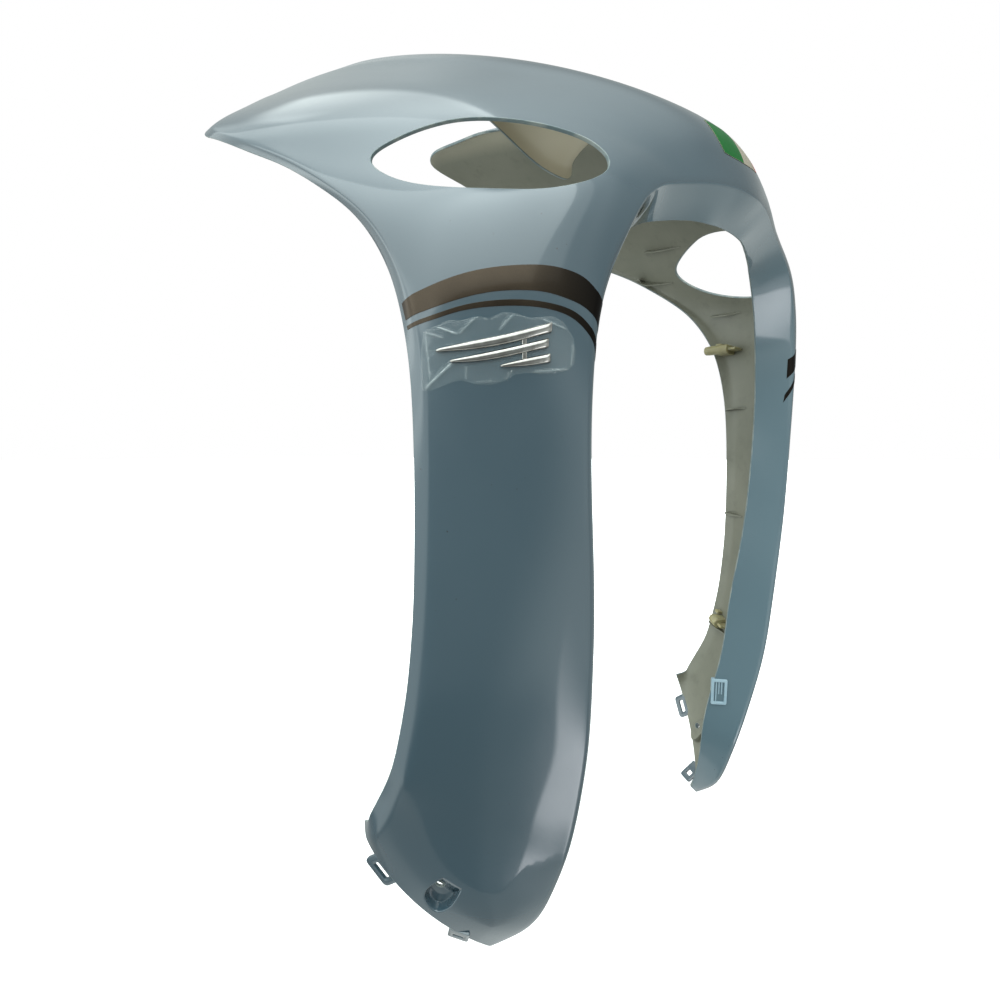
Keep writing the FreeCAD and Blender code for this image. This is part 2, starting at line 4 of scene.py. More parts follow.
import bmesh
import bpy
import numpy as np
from mathutils import Matrix, Vector
from mathutils.geometry import delaunay_2d_cdt

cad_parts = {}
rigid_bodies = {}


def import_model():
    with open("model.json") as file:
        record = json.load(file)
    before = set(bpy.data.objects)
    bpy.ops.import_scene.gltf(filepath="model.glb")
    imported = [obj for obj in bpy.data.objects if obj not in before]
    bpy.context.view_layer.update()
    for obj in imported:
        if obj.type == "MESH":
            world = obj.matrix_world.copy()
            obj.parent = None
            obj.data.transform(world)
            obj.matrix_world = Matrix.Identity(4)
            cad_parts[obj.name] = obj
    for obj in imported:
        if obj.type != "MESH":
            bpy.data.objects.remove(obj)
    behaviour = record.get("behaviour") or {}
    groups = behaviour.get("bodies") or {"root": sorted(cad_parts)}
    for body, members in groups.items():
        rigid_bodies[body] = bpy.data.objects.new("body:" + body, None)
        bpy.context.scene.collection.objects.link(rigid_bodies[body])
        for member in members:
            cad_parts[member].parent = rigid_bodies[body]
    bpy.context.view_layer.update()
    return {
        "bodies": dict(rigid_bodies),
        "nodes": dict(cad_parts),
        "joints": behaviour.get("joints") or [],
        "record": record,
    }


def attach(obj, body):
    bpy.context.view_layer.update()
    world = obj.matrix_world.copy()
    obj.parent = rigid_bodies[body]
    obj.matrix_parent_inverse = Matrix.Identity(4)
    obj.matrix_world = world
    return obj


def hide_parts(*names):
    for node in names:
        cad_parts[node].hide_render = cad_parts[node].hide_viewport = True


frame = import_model()

# Front cover of a motor scooter. All shape code works in millimetres in the moulding's own frame
# (X across, Y to the rear from the legs' rear edge, Z up from the feet) and is moved to the row's frame,
# in metres, when a mesh is made.
FRAME_Y, FRAME_Z = 84.45, -5.56

WALL = 2.5            # moulded wall thickness
LIP_W = 9.0           # width of the rolled strip along the outer edge
LIP_SLOPE = 0.42      # how steeply that strip turns inwards
LIP_R = 3.0           # softness of its bend
RIDGE_B = 6.0         # half width of the rounded ridge between side and flange
W_LIP, W_MAIN, W_CORNER = 0.12, 0.74, 0.82   # shares of the across parameter
LIP_ZONE = 14.0       # length of the first share

# Cross-sections of the right half, from the foot of the leg to the middle of the hood.
# Each row: outer edge, two shape points, ridge, inner edge; (distance from the middle plane, Y, Z).
STATIONS = [
    ((212.5, 50.0, 80.5), (209.1, 30.7, 44.9), (180.7, 9.3, 12.2), (149.0, -3.0, -6.8), (139.3, -1.6, 2.0)),
    ((218.0, 38.7, 85.4), (207.7, 29.2, 63.9), (171.3, -18.8, 21.9), (137.5, -25.0, 8.7), (129.0, -11.0, 24.0)),
    ((217.8, 28.4, 100.3), (199.0, 9.3, 81.1), (166.8, -26.1, 51.8), (133.0, -39.8, 34.8), (120.4, -18.1, 46.0)),
    ((217.7, 18.3, 118.3), (193.6, -7.1, 101.3), (164.7, -32.8, 82.5), (132.0, -50.7, 64.2), (116.4, -23.2, 74.0)),
    ((217.7, 11.2, 139.5), (192.1, -18.4, 127.6), (165.6, -40.9, 116.5), (135.5, -61.3, 103.0), (116.7, -30.1, 103.0)),
    ((217.7, 5.2, 165.6), (192.9, -24.9, 155.5), (167.6, -47.5, 147.5), (139.0, -68.0, 136.0), (120.0, -37.1, 136.0)),
    ((217.7, 1.2, 193.8), (194.6, -28.5, 187.4), (170.2, -52.4, 182.0), (142.5, -72.3, 175.0), (122.8, -41.3, 175.0)),
    ((217.8, -1.2, 221.9), (196.1, -30.3, 217.7), (172.7, -55.3, 213.6), (146.0, -75.1, 209.0), (125.6, -46.3, 209.0)),
    ((217.9, -2.2, 261.9), (197.9, -31.4, 258.3), (176.3, -57.3, 255.0), (152.0, -77.6, 252.0), (131.0, -51.2, 252.0)),
    ((217.9, -2.0, 289.9), (199.6, -31.7, 289.0), (178.9, -58.3, 287.2), (156.0, -78.7, 287.0), (134.7, -53.1, 287.0)),
    ((218.0, -0.8, 317.9), (202.3, -32.0, 318.7), (181.4, -59.8, 318.5), (158.0, -79.8, 320.0), (137.9, -54.0, 320.0)),
    ((218.1, 1.4, 341.9), (206.1, -32.3, 342.9), (183.9, -61.8, 344.1), (158.0, -80.9, 345.0), (138.5, -54.6, 345.0)),
    ((218.2, 5.9, 365.9), (211.5, -32.4, 366.5), (186.9, -64.7, 370.1), (156.3, -82.1, 369.0), (136.3, -55.5, 368.0)),
    ((218.3, 11.7, 385.9), (216.3, -31.9, 385.9), (189.2, -67.1, 392.1), (152.4, -83.4, 387.2), (130.8, -57.1, 387.5)),
    ((218.3, 19.5, 403.9), (219.4, -30.1, 403.7), (190.4, -69.0, 413.2), (146.1, -85.1, 403.7), (121.5, -59.8, 406.3)),
    ((218.3, 32.1, 423.0), (219.4, -25.6, 419.8), (189.6, -70.1, 433.3), (137.9, -86.8, 418.4), (111.8, -62.0, 420.8)),
    ((218.3, 51.9, 443.5), (213.4, -15.6, 434.5), (184.7, -70.2, 453.4), (127.1, -88.3, 434.7), (100.0, -64.5, 433.4)),
    ((217.8, 79.3, 463.5), (203.3, -1.1, 445.7), (175.8, -69.2, 468.0), (117.1, -88.7, 445.9), (89.2, -67.3, 440.4)),
    ((217.8, 114.2, 484.0), (196.0, 15.6, 460.8), (165.9, -67.7, 480.0), (107.8, -88.9, 452.7), (80.8, -70.0, 443.4)),
    ((217.9, 149.9, 499.9), (193.5, 30.8, 479.9), (157.5, -66.2, 489.9), (98.1, -89.3, 457.9), (73.1, -72.5, 445.2)),
    ((218.1, 178.2, 512.1), (192.2, 41.3, 495.5), (151.5, -65.3, 496.1), (90.8, -90.2, 460.3), (67.9, -74.1, 446.3)),
    ((215.7, 194.3, 520.2), (190.1, 47.4, 505.8), (147.3, -64.9, 499.5), (86.1, -91.0, 461.5), (64.5, -75.1, 447.0)),
    ((204.9, 202.2, 530.1), (186.7, 52.6, 515.3), (143.0, -64.8, 502.3), (82.1, -91.7, 462.5), (61.6, -76.0, 447.6)),
    ((168.2, 226.6, 555.4), (174.3, 64.2, 536.7), (132.3, -66.2, 508.6), (74.4, -93.1, 464.2), (56.0, -77.5, 448.5)),
    ((128.0, 253.5, 582.5), (156.6, 77.0, 558.0), (119.7, -71.8, 517.2), (66.2, -94.7, 465.9), (50.0, -79.2, 449.4)),
    ((100.0, 273.0, 600.8), (142.1, 83.9, 571.1), (108.1, -75.4, 523.8), (59.5, -96.2, 467.2), (44.7, -80.7, 450.1)),
    ((92.5, 266.0, 606.1), (135.3, 85.0, 576.1), (102.0, -77.2, 526.7), (55.3, -97.2, 467.9), (41.7, -81.4, 450.4)),
    ((88.0, 243.4, 608.9), (125.0, 83.8, 581.9), (92.3, -80.2, 530.8), (48.6, -98.8, 469.0), (36.9, -82.6, 450.7)),
    ((85.0, 212.2, 609.4), (111.2, 79.3, 586.3), (80.0, -83.6, 535.9), (41.1, -100.3, 470.0), (31.2, -83.9, 450.9)),
    ((82.0, 175.0, 607.5), (93.3, 71.6, 587.3), (67.1, -86.2, 541.8), (34.0, -101.6, 470.7), (25.9, -84.7, 451.1)),
    ((73.0, 136.0, 592.0), (71.6, 60.7, 585.1), (53.9, -88.5, 546.5), (27.0, -102.8, 471.2), (20.6, -85.0, 451.5)),
    ((57.0, 97.0, 566.0), (48.0, 47.0, 580.9), (39.0, -91.1, 549.3), (20.0, -104.0, 471.3), (15.5, -85.1, 451.9)),
    ((38.0, 71.5, 538.0), (27.8, 36.1, 577.5), (23.6, -93.4, 551.1), (12.9, -105.1, 471.1), (10.0, -85.2, 452.2)),
    ((18.0, 60.5, 521.5), (12.2, 30.7, 575.9), (10.5, -94.8, 552.1), (5.9, -105.9, 470.8), (4.8, -85.2, 452.3)),
    ((0.0, 57.0, 517.5), (0.0, 29.4, 575.5), (0.0, -95.2, 552.3), (0.0, -106.2, 470.7), (0.0, -85.2, 452.3)),
]


# ---------------------------------------------------------------- the outer surface
def spline_second(ts, rows):
    n = len(ts)
    h = np.diff(ts)
    a = np.zeros((n, n))
    b = np.zeros((n, rows.shape[1]))
    a[0, 0] = a[-1, -1] = 1.0
    for i in range(1, n - 1):
        a[i, i - 1], a[i, i], a[i, i + 1] = h[i - 1], 2.0 * (h[i - 1] + h[i]), h[i]
        b[i] = 6.0 * ((rows[i + 1] - rows[i]) / h[i] - (rows[i] - rows[i - 1]) / h[i - 1])
    return np.linalg.solve(a, b)


_st = np.array(STATIONS, float)
_step = 0.5 * np.linalg.norm(np.diff(_st[:, 0], axis=0), axis=1) + 0.5 * np.linalg.norm(np.diff(_st[:, 3], axis=0), axis=1) + 4.0
_tau = np.concatenate([[0.0], np.cumsum(_step)])
T_MID = _tau[-1]
T_END = 2.0 * T_MID
TAUS = np.concatenate([_tau, (T_END - _tau[:-1])[::-1]])
_right = _st * np.array([-1.0, 1.0, 1.0])
ROWS = np.concatenate([_right, _st[:-1][::-1]]).reshape(len(TAUS), 15)
SECOND = spline_second(TAUS, ROWS)
_u = np.linspace(0.0, 1.0, 41)
BERN = np.stack([(1 - _u) ** 3, 3 * _u * (1 - _u) ** 2, 3 * _u ** 2 * (1 - _u), _u ** 3], 1)


def controls(t):
    i = np.clip(np.searchsorted(TAUS, t, side="right") - 1, 0, len(TAUS) - 2)
    h = (TAUS[i + 1] - TAUS[i])[:, None]
    a = (TAUS[i + 1] - t)[:, None] / h
    b = 1.0 - a
    r = a * ROWS[i] + b * ROWS[i + 1] + (a ** 3 - a) * h * h / 6.0 * SECOND[i] + (b ** 3 - b) * h * h / 6.0 * SECOND[i + 1]
    return r.reshape(-1, 5, 3)


def raw(w, t):
    """Points of the surface before its edge is rolled, and how far the roll turns in there."""
    c = controls(t)
    four, r, a = c[:, :4], c[:, 3], c[:, 4]
    pts = np.einsum("kc,ncj->nkj", BERN, four)
    s = np.concatenate([np.zeros((len(w), 1)), np.cumsum(np.linalg.norm(np.diff(pts, axis=1), axis=2), axis=1)], 1)
    main = s[:, -1]
    flange = np.linalg.norm(a - r, axis=1)
    cut = np.minimum(RIDGE_B, 0.35 * flange)
    arc = np.where(w <= W_LIP, LIP_ZONE * w / W_LIP, LIP_ZONE + (main - cut - LIP_ZONE) * (w - W_LIP) / (W_MAIN - W_LIP))

    def at_len(v):
        v = np.clip(v, 0.0, main)
        k = np.clip((s <= v[:, None]).sum(1) - 1, 0, 39)
        n = np.arange(len(v))
        f = (v - s[n, k]) / (s[n, k + 1] - s[n, k])
        u = ((k + f) / 40.0)[:, None]
        q = 1.0 - u
        return q ** 3 * c[:, 0] + 3 * u * q ** 2 * c[:, 1] + 3 * u ** 2 * q * c[:, 2] + u ** 3 * c[:, 3]

    f0 = (cut / flange)[:, None]
    side = at_len(arc)
    k = ((w - W_MAIN) / (W_CORNER - W_MAIN))[:, None]
    p, q = at_len(main - cut), r + (a - r) * f0
    x, y = p + (r - p) * k, r + (q - r) * k
    corner = x + (y - x) * k
    inner = r + (a - r) * (f0 + (1.0 - f0) * ((w - W_CORNER) / (1.0 - W_CORNER))[:, None])
    out = np.where((w <= W_MAIN)[:, None], side, np.where((w <= W_CORNER)[:, None], corner, inner))
    d = LIP_W - arc
    lip = np.where(w < 0.3, LIP_SLOPE * 0.5 * (d + np.sqrt(d * d + LIP_R * LIP_R)), 0.0)
    return out, lip


def unit(v):
    return v / np.maximum(np.linalg.norm(v, axis=-1, keepdims=True), 1e-12)


def surf(w, t):
    """Points of the finished outer surface."""
    w0, w1 = np.maximum(w - 0.004, 0.0), np.minimum(w + 0.004, 1.0)
    t0, t1 = np.maximum(t - 0.6, 0.0), np.minimum(t + 0.6, T_END)
    p, lip = raw(w, t)
    n = unit(np.cross(raw(w1, t)[0] - raw(w0, t)[0], raw(w, t1)[0] - raw(w, t0)[0]))
    return p - n * lip[:, None]


def surf_n(w, t):
    """Points and outward unit normals of the finished outer surface."""
    w, t = np.asarray(w, float).ravel(), np.asarray(t, float).ravel()
    P, N = [], []
    for i in range(0, len(w), 6000):
        a, b = w[i:i + 6000], t[i:i + 6000]
        w0, w1 = np.maximum(a - 0.003, 0.0), np.minimum(a + 0.003, 1.0)
        t0, t1 = np.maximum(b - 0.7, 0.0), np.minimum(b + 0.7, T_END)
        P.append(surf(a, b))
        N.append(unit(np.cross(surf(w1, b) - surf(w0, b), surf(a, t1) - surf(a, t0))))
    return np.concatenate(P), np.concatenate(N)


def to_row(p):
    """Moulding frame in millimetres to the row's frame in metres."""
    return (np.asarray(p, float) - np.array([0.0, FRAME_Y, FRAME_Z])) * 0.001


# ---------------------------------------------------------------- mesh helpers
class Build:
    """Vertices with their own normals, faces and material numbers, for one object."""

    def __init__(self):
        self.v, self.n, self.f, self.m, self.count = [], [], [], [], 0

    def add(self, pts, nrm, faces, mat):
        base = self.count
        self.v.append(np.asarray(pts, float))
        self.n.append(np.asarray(nrm, float))
        self.f += [tuple(base + i for i in f) for f in faces]
        self.m += [mat] * len(faces) if np.isscalar(mat) else list(mat)
        self.count += len(pts)
        return base

    def make(self, name, materials, params=None):
        me = bpy.data.meshes.new(name)
        me.from_pydata(to_row(np.concatenate(self.v)).tolist(), [], self.f)
        for m in materials:
            me.materials.append(m)
        me.polygons.foreach_set("material_index", np.array(self.m, np.int32))
        me.polygons.foreach_set("use_smooth", np.ones(len(me.polygons), bool))
        if params is not None:
            at = me.attributes.new("place", "FLOAT_VECTOR", "POINT")
            at.data.foreach_set("vector", np.asarray(params, np.float32).ravel())
        me.normals_split_custom_set_from_vertices(np.concatenate(self.n).tolist())
        me.update()
        ob = bpy.data.objects.new(name, me)
        bpy.context.scene.collection.objects.link(ob)
        return ob


def closed_curve(pts, n):
    """Periodic cubic through points of the plane, sampled n times at even steps."""
    p = np.asarray(pts, float)
    m = len(p)
    d = np.linalg.norm(np.roll(p, -1, 0) - p, axis=1)
    ts = np.concatenate([[0.0], np.cumsum(d)])
    big = np.concatenate([p, p, p, p[:1]])
    tb = np.concatenate([ts[:-1] - ts[-1], ts[:-1], ts[:-1] + ts[-1], [2 * ts[-1]]])
    sec = spline_second(tb, big)
    x = np.linspace(0.0, ts[-1], 8 * n, endpoint=False)
    i = np.clip(np.searchsorted(tb, x, side="right") - 1, 0, len(tb) - 2)
    h = (tb[i + 1] - tb[i])[:, None]
    a = (tb[i + 1] - x)[:, None] / h
    b = 1 - a
    q = a * big[i] + b * big[i + 1] + (a ** 3 - a) * h * h / 6 * sec[i] + (b ** 3 - b) * h * h / 6 * sec[i + 1]
    l = np.concatenate([[0.0], np.cumsum(np.linalg.norm(np.roll(q, -1, 0) - q, axis=1))])
    want = np.linspace(0.0, l[-1], n, endpoint=False)
    qq = np.concatenate([q, q[:1]])
    return np.stack([np.interp(want, l, qq[:, k]) for k in (0, 1)], 1)


def inside(poly, pts):
    """Which points of the plane lie inside a polygon."""
    x, y = pts[:, 0], pts[:, 1]
    hit = np.zeros(len(pts), bool)
    for (x0, y0), (x1, y1) in zip(poly, np.roll(poly, -1, 0)):
        if y0 == y1:
            continue
        cross = ((y0 > y) != (y1 > y)) & (x < (x1 - x0) * (y - y0) / (y1 - y0) + x0)
        hit ^= cross
    return hit


def near_poly(poly, pts):
    """Distance of points of the plane from a closed polygon's outline."""
    best = np.full(len(pts), 1e9)
    for a, b in zip(poly, np.roll(poly, -1, 0)):
        ab = b - a
        k = np.clip(((pts - a) @ ab) / max(ab @ ab, 1e-12), 0, 1)
        best = np.minimum(best, np.linalg.norm(pts - (a + k[:, None] * ab), axis=1))
    return best


def grow(poly, d):
    """A closed polygon moved outwards by d (inwards if negative)."""
    t = unit(np.roll(poly, -1, 0) - np.roll(poly, 1, 0))
    area = 0.5 * np.sum(poly[:, 0] * np.roll(poly[:, 1], -1) - np.roll(poly[:, 0], -1) * poly[:, 1])
    n = np.stack([t[:, 1], -t[:, 0]], 1) * np.sign(area)
    return poly + n * d


# ---------------------------------------------------------------- the moulded shell
# Flat map of the surface used for meshing: (across in mm, along in mm), near true size on the shoulder.
WX = 250.0
OPEN_PTS = [(0.288, 561.0), (0.260, 542.0), (0.273, 522.9), (0.330, 507.7), (0.424, 497.6), (0.535, 496.0),
            (0.620, 510.7), (0.658, 533.5), (0.665, 560.0), (0.645, 596.6), (0.586, 623.2), (0.545, 624.9),
            (0.497, 620.2), (0.447, 607.8), (0.353, 581.1)]
RIM_R = 0.5           # rounding of every cut edge


def axis(*spans):
    out = [spans[0][0]]
    for a, b, n in spans:
        out += list(np.linspace(a, b, n + 1)[1:])
    return np.array(out)


WS = axis((0.0, 0.12, 12), (0.12, 0.74, 46), (0.74, 0.82, 11), (0.82, 1.0, 7))
TH = axis((0.0, 46.0, 18), (46.0, 608.0, 118), (608.0, 658.0, 20), (658.0, 678.0, 5), (678.0, 690.0, 12), (690.0, 713.0, 6), (713.0, 763.0, 26), (763.0, T_MID, 40))
TS = np.concatenate([TH, (T_END - TH[:-1])[::-1]])
NW, NT = len(WS), len(TS)


def opening_loop(n=150):
    return closed_curve([(w * WX, t) for w, t in OPEN_PTS], n)


def plane_patch(i0, i1, j0, j1, holes, wx, band, clear, creases=(), fill=()):
    """Triangles of a window of the grid with holes and creases: (places, triangles, index of each window point)."""
    ii, jj = np.meshgrid(np.arange(i0, i1 + 1), np.arange(j0, j1 + 1), indexing="ij")
    pts = np.stack([WS[jj.ravel()] * wx, TS[ii.ravel()]], 1)
    border = ((ii == i0) | (ii == i1) | (jj == j0) | (jj == j1)).ravel()
    keep = np.ones(len(pts), bool)
    for loop in holes:
        keep &= border | (~inside(loop, pts) & (near_poly(loop, pts) > clear))
    for loop, room in creases:
        keep &= border | (near_poly(loop, pts) > room)
    ids = np.full(len(pts), -1)
    ids[keep] = np.arange(keep.sum())
    all_pts, edges, count = [pts[keep]], [], int(keep.sum())
    rings = [(grow(loop, d), k == 0) for loop in holes for k, d in enumerate(band)] + [(loop, True) for loop, _ in creases]
    for ring, fixed in rings:
        if fixed:
            edges += [(count + q, count + (q + 1) % len(ring)) for q in range(len(ring))]
        all_pts.append(ring)
        count += len(ring)
    if len(fill):
        all_pts.append(np.asarray(fill, float))
    all_pts = np.concatenate(all_pts)
    res = delaunay_2d_cdt([Vector(p) for p in all_pts], edges, [], 0, 1e-5)
    out_pts = np.array([tuple(p) for p in res[0]])
    tris = []
    cen = np.array([np.mean([out_pts[v] for v in f], axis=0) for f in res[2]])
    bad = np.zeros(len(cen), bool)
    for loop in holes:
        bad |= inside(loop, cen)
    first = {}
    for new, olds in enumerate(res[3]):
        for o in olds:
            first[o] = new
    for f, b in zip(res[2], bad):
        if not b:
            a = out_pts[list(f)]
            if np.cross(a[1] - a[0], a[2] - a[0]) < 0:
                f = f[::-1]
            tris.append(tuple(f))
    table = {}
    for k in range(len(pts)):
        if keep[k] and border[k]:
            table[(ii.ravel()[k], jj.ravel()[k])] = first[ids[k]]
    return out_pts / np.array([wx, 1.0]), tris, table


# Screw recess near the foot: a pocket with a round lower end whose floor rises to the surface at its upper end.
POCKET = [(0.3629, 33.65), (0.3551, 26.12), (0.3562, 17.60), (0.3707, 11.88), (0.3946, 7.64), (0.4283, 5.28),
          (0.4565, 6.11), (0.4645, 11.32), (0.4586, 18.22), (0.4465, 25.92), (0.4424, 32.82)]
POCKET_DEPTH = 6.2
SCREW_AT, SCREW_R = (0.387, 21.5), 2.75
POCKET_WX = float(np.linalg.norm(np.diff(surf(np.array([0.35, 0.45]), np.array([19.0, 19.0])), axis=0))) / 0.1


def even_loop(pts, step):
    """Points at even steps along a closed polygon."""
    p = np.concatenate([pts, pts[:1]])
    l = np.concatenate([[0.0], np.cumsum(np.linalg.norm(np.diff(p, axis=0), axis=1))])
    x = np.linspace(0.0, l[-1], max(8, int(round(l[-1] / step))), endpoint=False)
    return np.stack([np.interp(x, l, p[:, k]) for k in (0, 1)], 1)


def pocket_outline():
    p = np.array(POCKET) * np.array([POCKET_WX, 1.0])
    ts = np.concatenate([[0.0], np.cumsum(np.linalg.norm(np.diff(p, axis=0), axis=1))])
    sec = spline_second(ts, p)
    x = np.linspace(0.0, ts[-1], 120)
    i = np.clip(np.searchsorted(ts, x, side="right") - 1, 0, len(ts) - 2)
    h = (ts[i + 1] - ts[i])[:, None]
    a = (ts[i + 1] - x)[:, None] / h
    b = 1 - a
    q = a * p[i] + b * p[i + 1] + (a ** 3 - a) * h * h / 6 * sec[i] + (b ** 3 - b) * h * h / 6 * sec[i + 1]
    return even_loop(q, 0.55)


def smooth(x, a, b):
    k = np.clip((np.asarray(x, float) - a) / (b - a), 0.0, 1.0)
    return k * k * (3.0 - 2.0 * k)


def pocket_depth(w, t):
    """How far the surface is sunk at a place of either leg."""
    t = np.where(t > T_MID, T_END - t, t)
    q = np.stack([w * POCKET_WX, t], 1)
    out = np.zeros(len(w))
    near = (t < 39.0) & (w > 0.33) & (w < 0.49)
    if near.any():
        loop = pocket_outline()
        d = near_poly(loop, q[near]) * np.where(inside(loop, q[near]), 1.0, -1.0)
        out[near] = POCKET_DEPTH * smooth(33.4 - t[near], 0.0, 12.5) * smooth(d, -0.15, 1.15)
    return out


def shell_faces():
    """Places on the surface and faces of the whole outer side with its openings."""
    windows = []
    for side in (0, 1):
        right = opening_loop()
        loop = right if side == 0 else np.stack([right[:, 0], T_END - right[:, 1]], 1)[::-1]
        windows.append((loop, 9.0, WX, [grow(loop, RIM_R)], (0.0, 1.2, 3.0), 4.2, (), ()))
        a = np.linspace(0.0, 2.0 * math.pi, 28, endpoint=False)
        hole = np.array([SCREW_AT[0] * POCKET_WX, SCREW_AT[1]]) + (SCREW_R + 0.3) * np.stack([np.cos(a), np.sin(a)], 1)
        edge = pocket_outline()
        gx, gy = np.meshgrid(np.arange(edge[:, 0].min(), edge[:, 0].max(), 1.1), np.arange(edge[:, 1].min(), edge[:, 1].max(), 1.1))
        fill = np.stack([gx.ravel(), gy.ravel()], 1)
        fill = fill[inside(edge, fill) & (near_poly(edge, fill) > 1.9) & (near_poly(hole, fill) > 1.5) & ~inside(hole, fill)]
        rings = [even_loop(grow(edge, d), 0.55) for d in (-1.5, -1.05, -0.7, -0.35, 0.0, 0.45, 1.1)]
        if side:
            turn = lambda p: np.stack([p[:, 0], T_END - p[:, 1]], 1)[::-1]
            hole, fill, rings = turn(hole), turn(fill), [turn(r) for r in rings]
        keep = [(r, 1.7 if k == 4 else 0.9) for k, r in enumerate(rings)]
        windows.append((rings[-1], 2.6, POCKET_WX, [hole], (0.0, 0.6), 1.3, keep, fill))
    used = -np.ones((NT, NW), int)
    inner = np.zeros((NT, NW), bool)
    cell = np.ones((NT - 1, NW - 1), bool)
    boxes = []
    for loop, room, wx, holes, band, clear, creases, fill in windows:
        i0 = max(np.searchsorted(TS, loop[:, 1].min() - room) - 1, 0)
        i1 = min(np.searchsorted(TS, loop[:, 1].max() + room), NT - 1)
        j0 = np.searchsorted(WS, (loop[:, 0].min() - room) / wx) - 1
        j1 = np.searchsorted(WS, (loop[:, 0].max() + room) / wx)
        boxes.append((i0, i1, j0, j1))
        inner[i0 + 1:i1, j0 + 1:j1] = True
        cell[i0:i1, j0:j1] = False
    idx = np.argwhere(~inner)
    for k, (i, j) in enumerate(idx):
        used[i, j] = k
    places = [np.stack([WS[idx[:, 1]], TS[idx[:, 0]]], 1)]
    count = len(idx)
    faces = []
    for i, j in np.argwhere(cell):
        faces.append((used[i, j], used[i, j + 1], used[i + 1, j + 1], used[i + 1, j]))
    for (i0, i1, j0, j1), (loop, room, wx, holes, band, clear, creases, fill) in zip(boxes, windows):
        pts, tris, table = plane_patch(i0, i1, j0, j1, holes, wx, band, clear, creases, fill)
        remap = np.full(len(pts), -1)
        for (i, j), k in table.items():
            remap[k] = used[i, j]
        new = remap < 0
        remap[new] = count + np.arange(new.sum())
        places.append(pts[new])
        count += new.sum()
        faces += [tuple(int(remap[k]) for k in f) for f in tris]
    places = np.concatenate(places)
    # notch in the rear end of each shoulder
    t = np.where(places[:, 1] > T_MID, T_END - places[:, 1], places[:, 1])
    cut = 0.05 * np.clip(1.6 * (1.0 - np.abs(t - 683.8) / 3.2), 0.0, 1.0)
    places[:, 0] = np.where(places[:, 0] < 0.12, np.maximum(places[:, 0], cut + places[:, 0] * (0.12 - cut) / 0.12), places[:, 0])
    return places, [tuple(int(k) for k in f) for f in faces]


def border_loops(faces):
    """Ordered boundary loops of a surface, each with the surface on its left."""
    edges = {}
    for f in faces:
        for a, b in zip(f, f[1:] + f[:1]):
            edges[(a, b)] = True
    nxt = {a: b for (a, b) in edges if (b, a) not in edges}
    loops = []
    while nxt:
        a = next(iter(nxt))
        loop = [a]
        b = nxt.pop(a)
        while b != a:
            loop.append(b)
            b = nxt.pop(b)
        loops.append(loop)
    return loops


def mesh_normals(P, faces, N, mask):
    """Normals N, taken from the faces themselves where the mask is set."""
    out = np.zeros_like(N)
    for f in faces:
        if mask[list(f)].any():
            a, b, c = P[f[0]], P[f[1]], P[f[2]]
            k = np.cross(b - a, c - a)
            if len(f) == 4:
                k = k + np.cross(c - a, P[f[3]] - a)
            for q in f:
                out[q] += k
    return np.where(mask[:, None], unit(out), N)


def thick_sheet(build, P, N, faces, wall, mats, rho, shade=None):
    """Outer face, inner face and rounded edges of a sheet. mats: outer, inner, edge."""
    n = len(P)
    shade = N if shade is None else shade
    base = build.add(P, shade, faces, mats[0])
    build.add(P - N * wall, -shade, [f[::-1] for f in faces], mats[1])
    for loop in border_loops(faces):
        L = np.array(loop)
        d = unit(np.roll(P[L], -1, 0) - np.roll(P[L], 1, 0))
        e = unit(np.cross(d, N[L]))
        rows, nr = [], []
        for ang in (30, 60, 90):
            c, s = math.cos(math.radians(ang)), math.sin(math.radians(ang))
            rows.append(P[L] + e * rho * s - N[L] * rho * (1 - c))
            nr.append(N[L] * c + e * s)
        for ang in (90, 60, 30):
            c, s = math.cos(math.radians(ang)), math.sin(math.radians(ang))
            rows.append(P[L] - N[L] * wall + e * rho * s + N[L] * rho * (1 - c))
            nr.append(-N[L] * c + e * s)
        m = len(L)
        k0 = build.add(np.concatenate(rows), np.concatenate(nr), [], mats[2])
        ring = [base + L] + [k0 + q * m + np.arange(m) for q in range(6)] + [base + n + L]
        fs = []
        for r0, r1 in zip(ring[:-1], ring[1:]):
            for q in range(m):
                p = (q + 1) % m
                fs.append((int(r0[p]), int(r0[q]), int(r1[q]), int(r1[p])))
        build.f += fs
        build.m += [mats[2]] * len(fs)


# ---------------------------------------------------------------- materials
def material(name):
    m = bpy.data.materials.new(name)
    m.use_nodes = True
    nt = m.node_tree
    nt.nodes.clear()
    out = nt.nodes.new("ShaderNodeOutputMaterial")
    b = nt.nodes.new("ShaderNodeBsdfPrincipled")
    nt.links.new(b.outputs[0], out.inputs[0])
    return m, nt, b


def node(nt, kind, **kw):
    n = nt.nodes.new(kind)
    for k, v in kw.items():
        if hasattr(n, k):
            setattr(n, k, v)
        else:
            n.inputs[k.replace("_", " ").title() if k.islower() else k].default_value = v
    return n


def noise(nt, co, scale, detail=4.0, rough=0.55, dist=0.0):
    n = nt.nodes.new("ShaderNodeTexNoise")
    n.inputs["Scale"].default_value = scale
    n.inputs["Detail"].default_value = detail
    n.inputs["Roughness"].default_value = rough
    n.inputs["Distortion"].default_value = dist
    nt.links.new(co, n.inputs["Vector"])
    return n.outputs[0]


def ramp(nt, fac, stops):
    r = nt.nodes.new("ShaderNodeValToRGB")
    e = r.color_ramp.elements
    while len(e) < len(stops):
        e.new(0.5)
    for k, (p, c) in zip(e, stops):
        k.position = p
        k.color = (c, c, c, 1) if np.isscalar(c) else tuple(c) + (1.0,)
    nt.links.new(fac, r.inputs[0])
    return r.outputs[0]


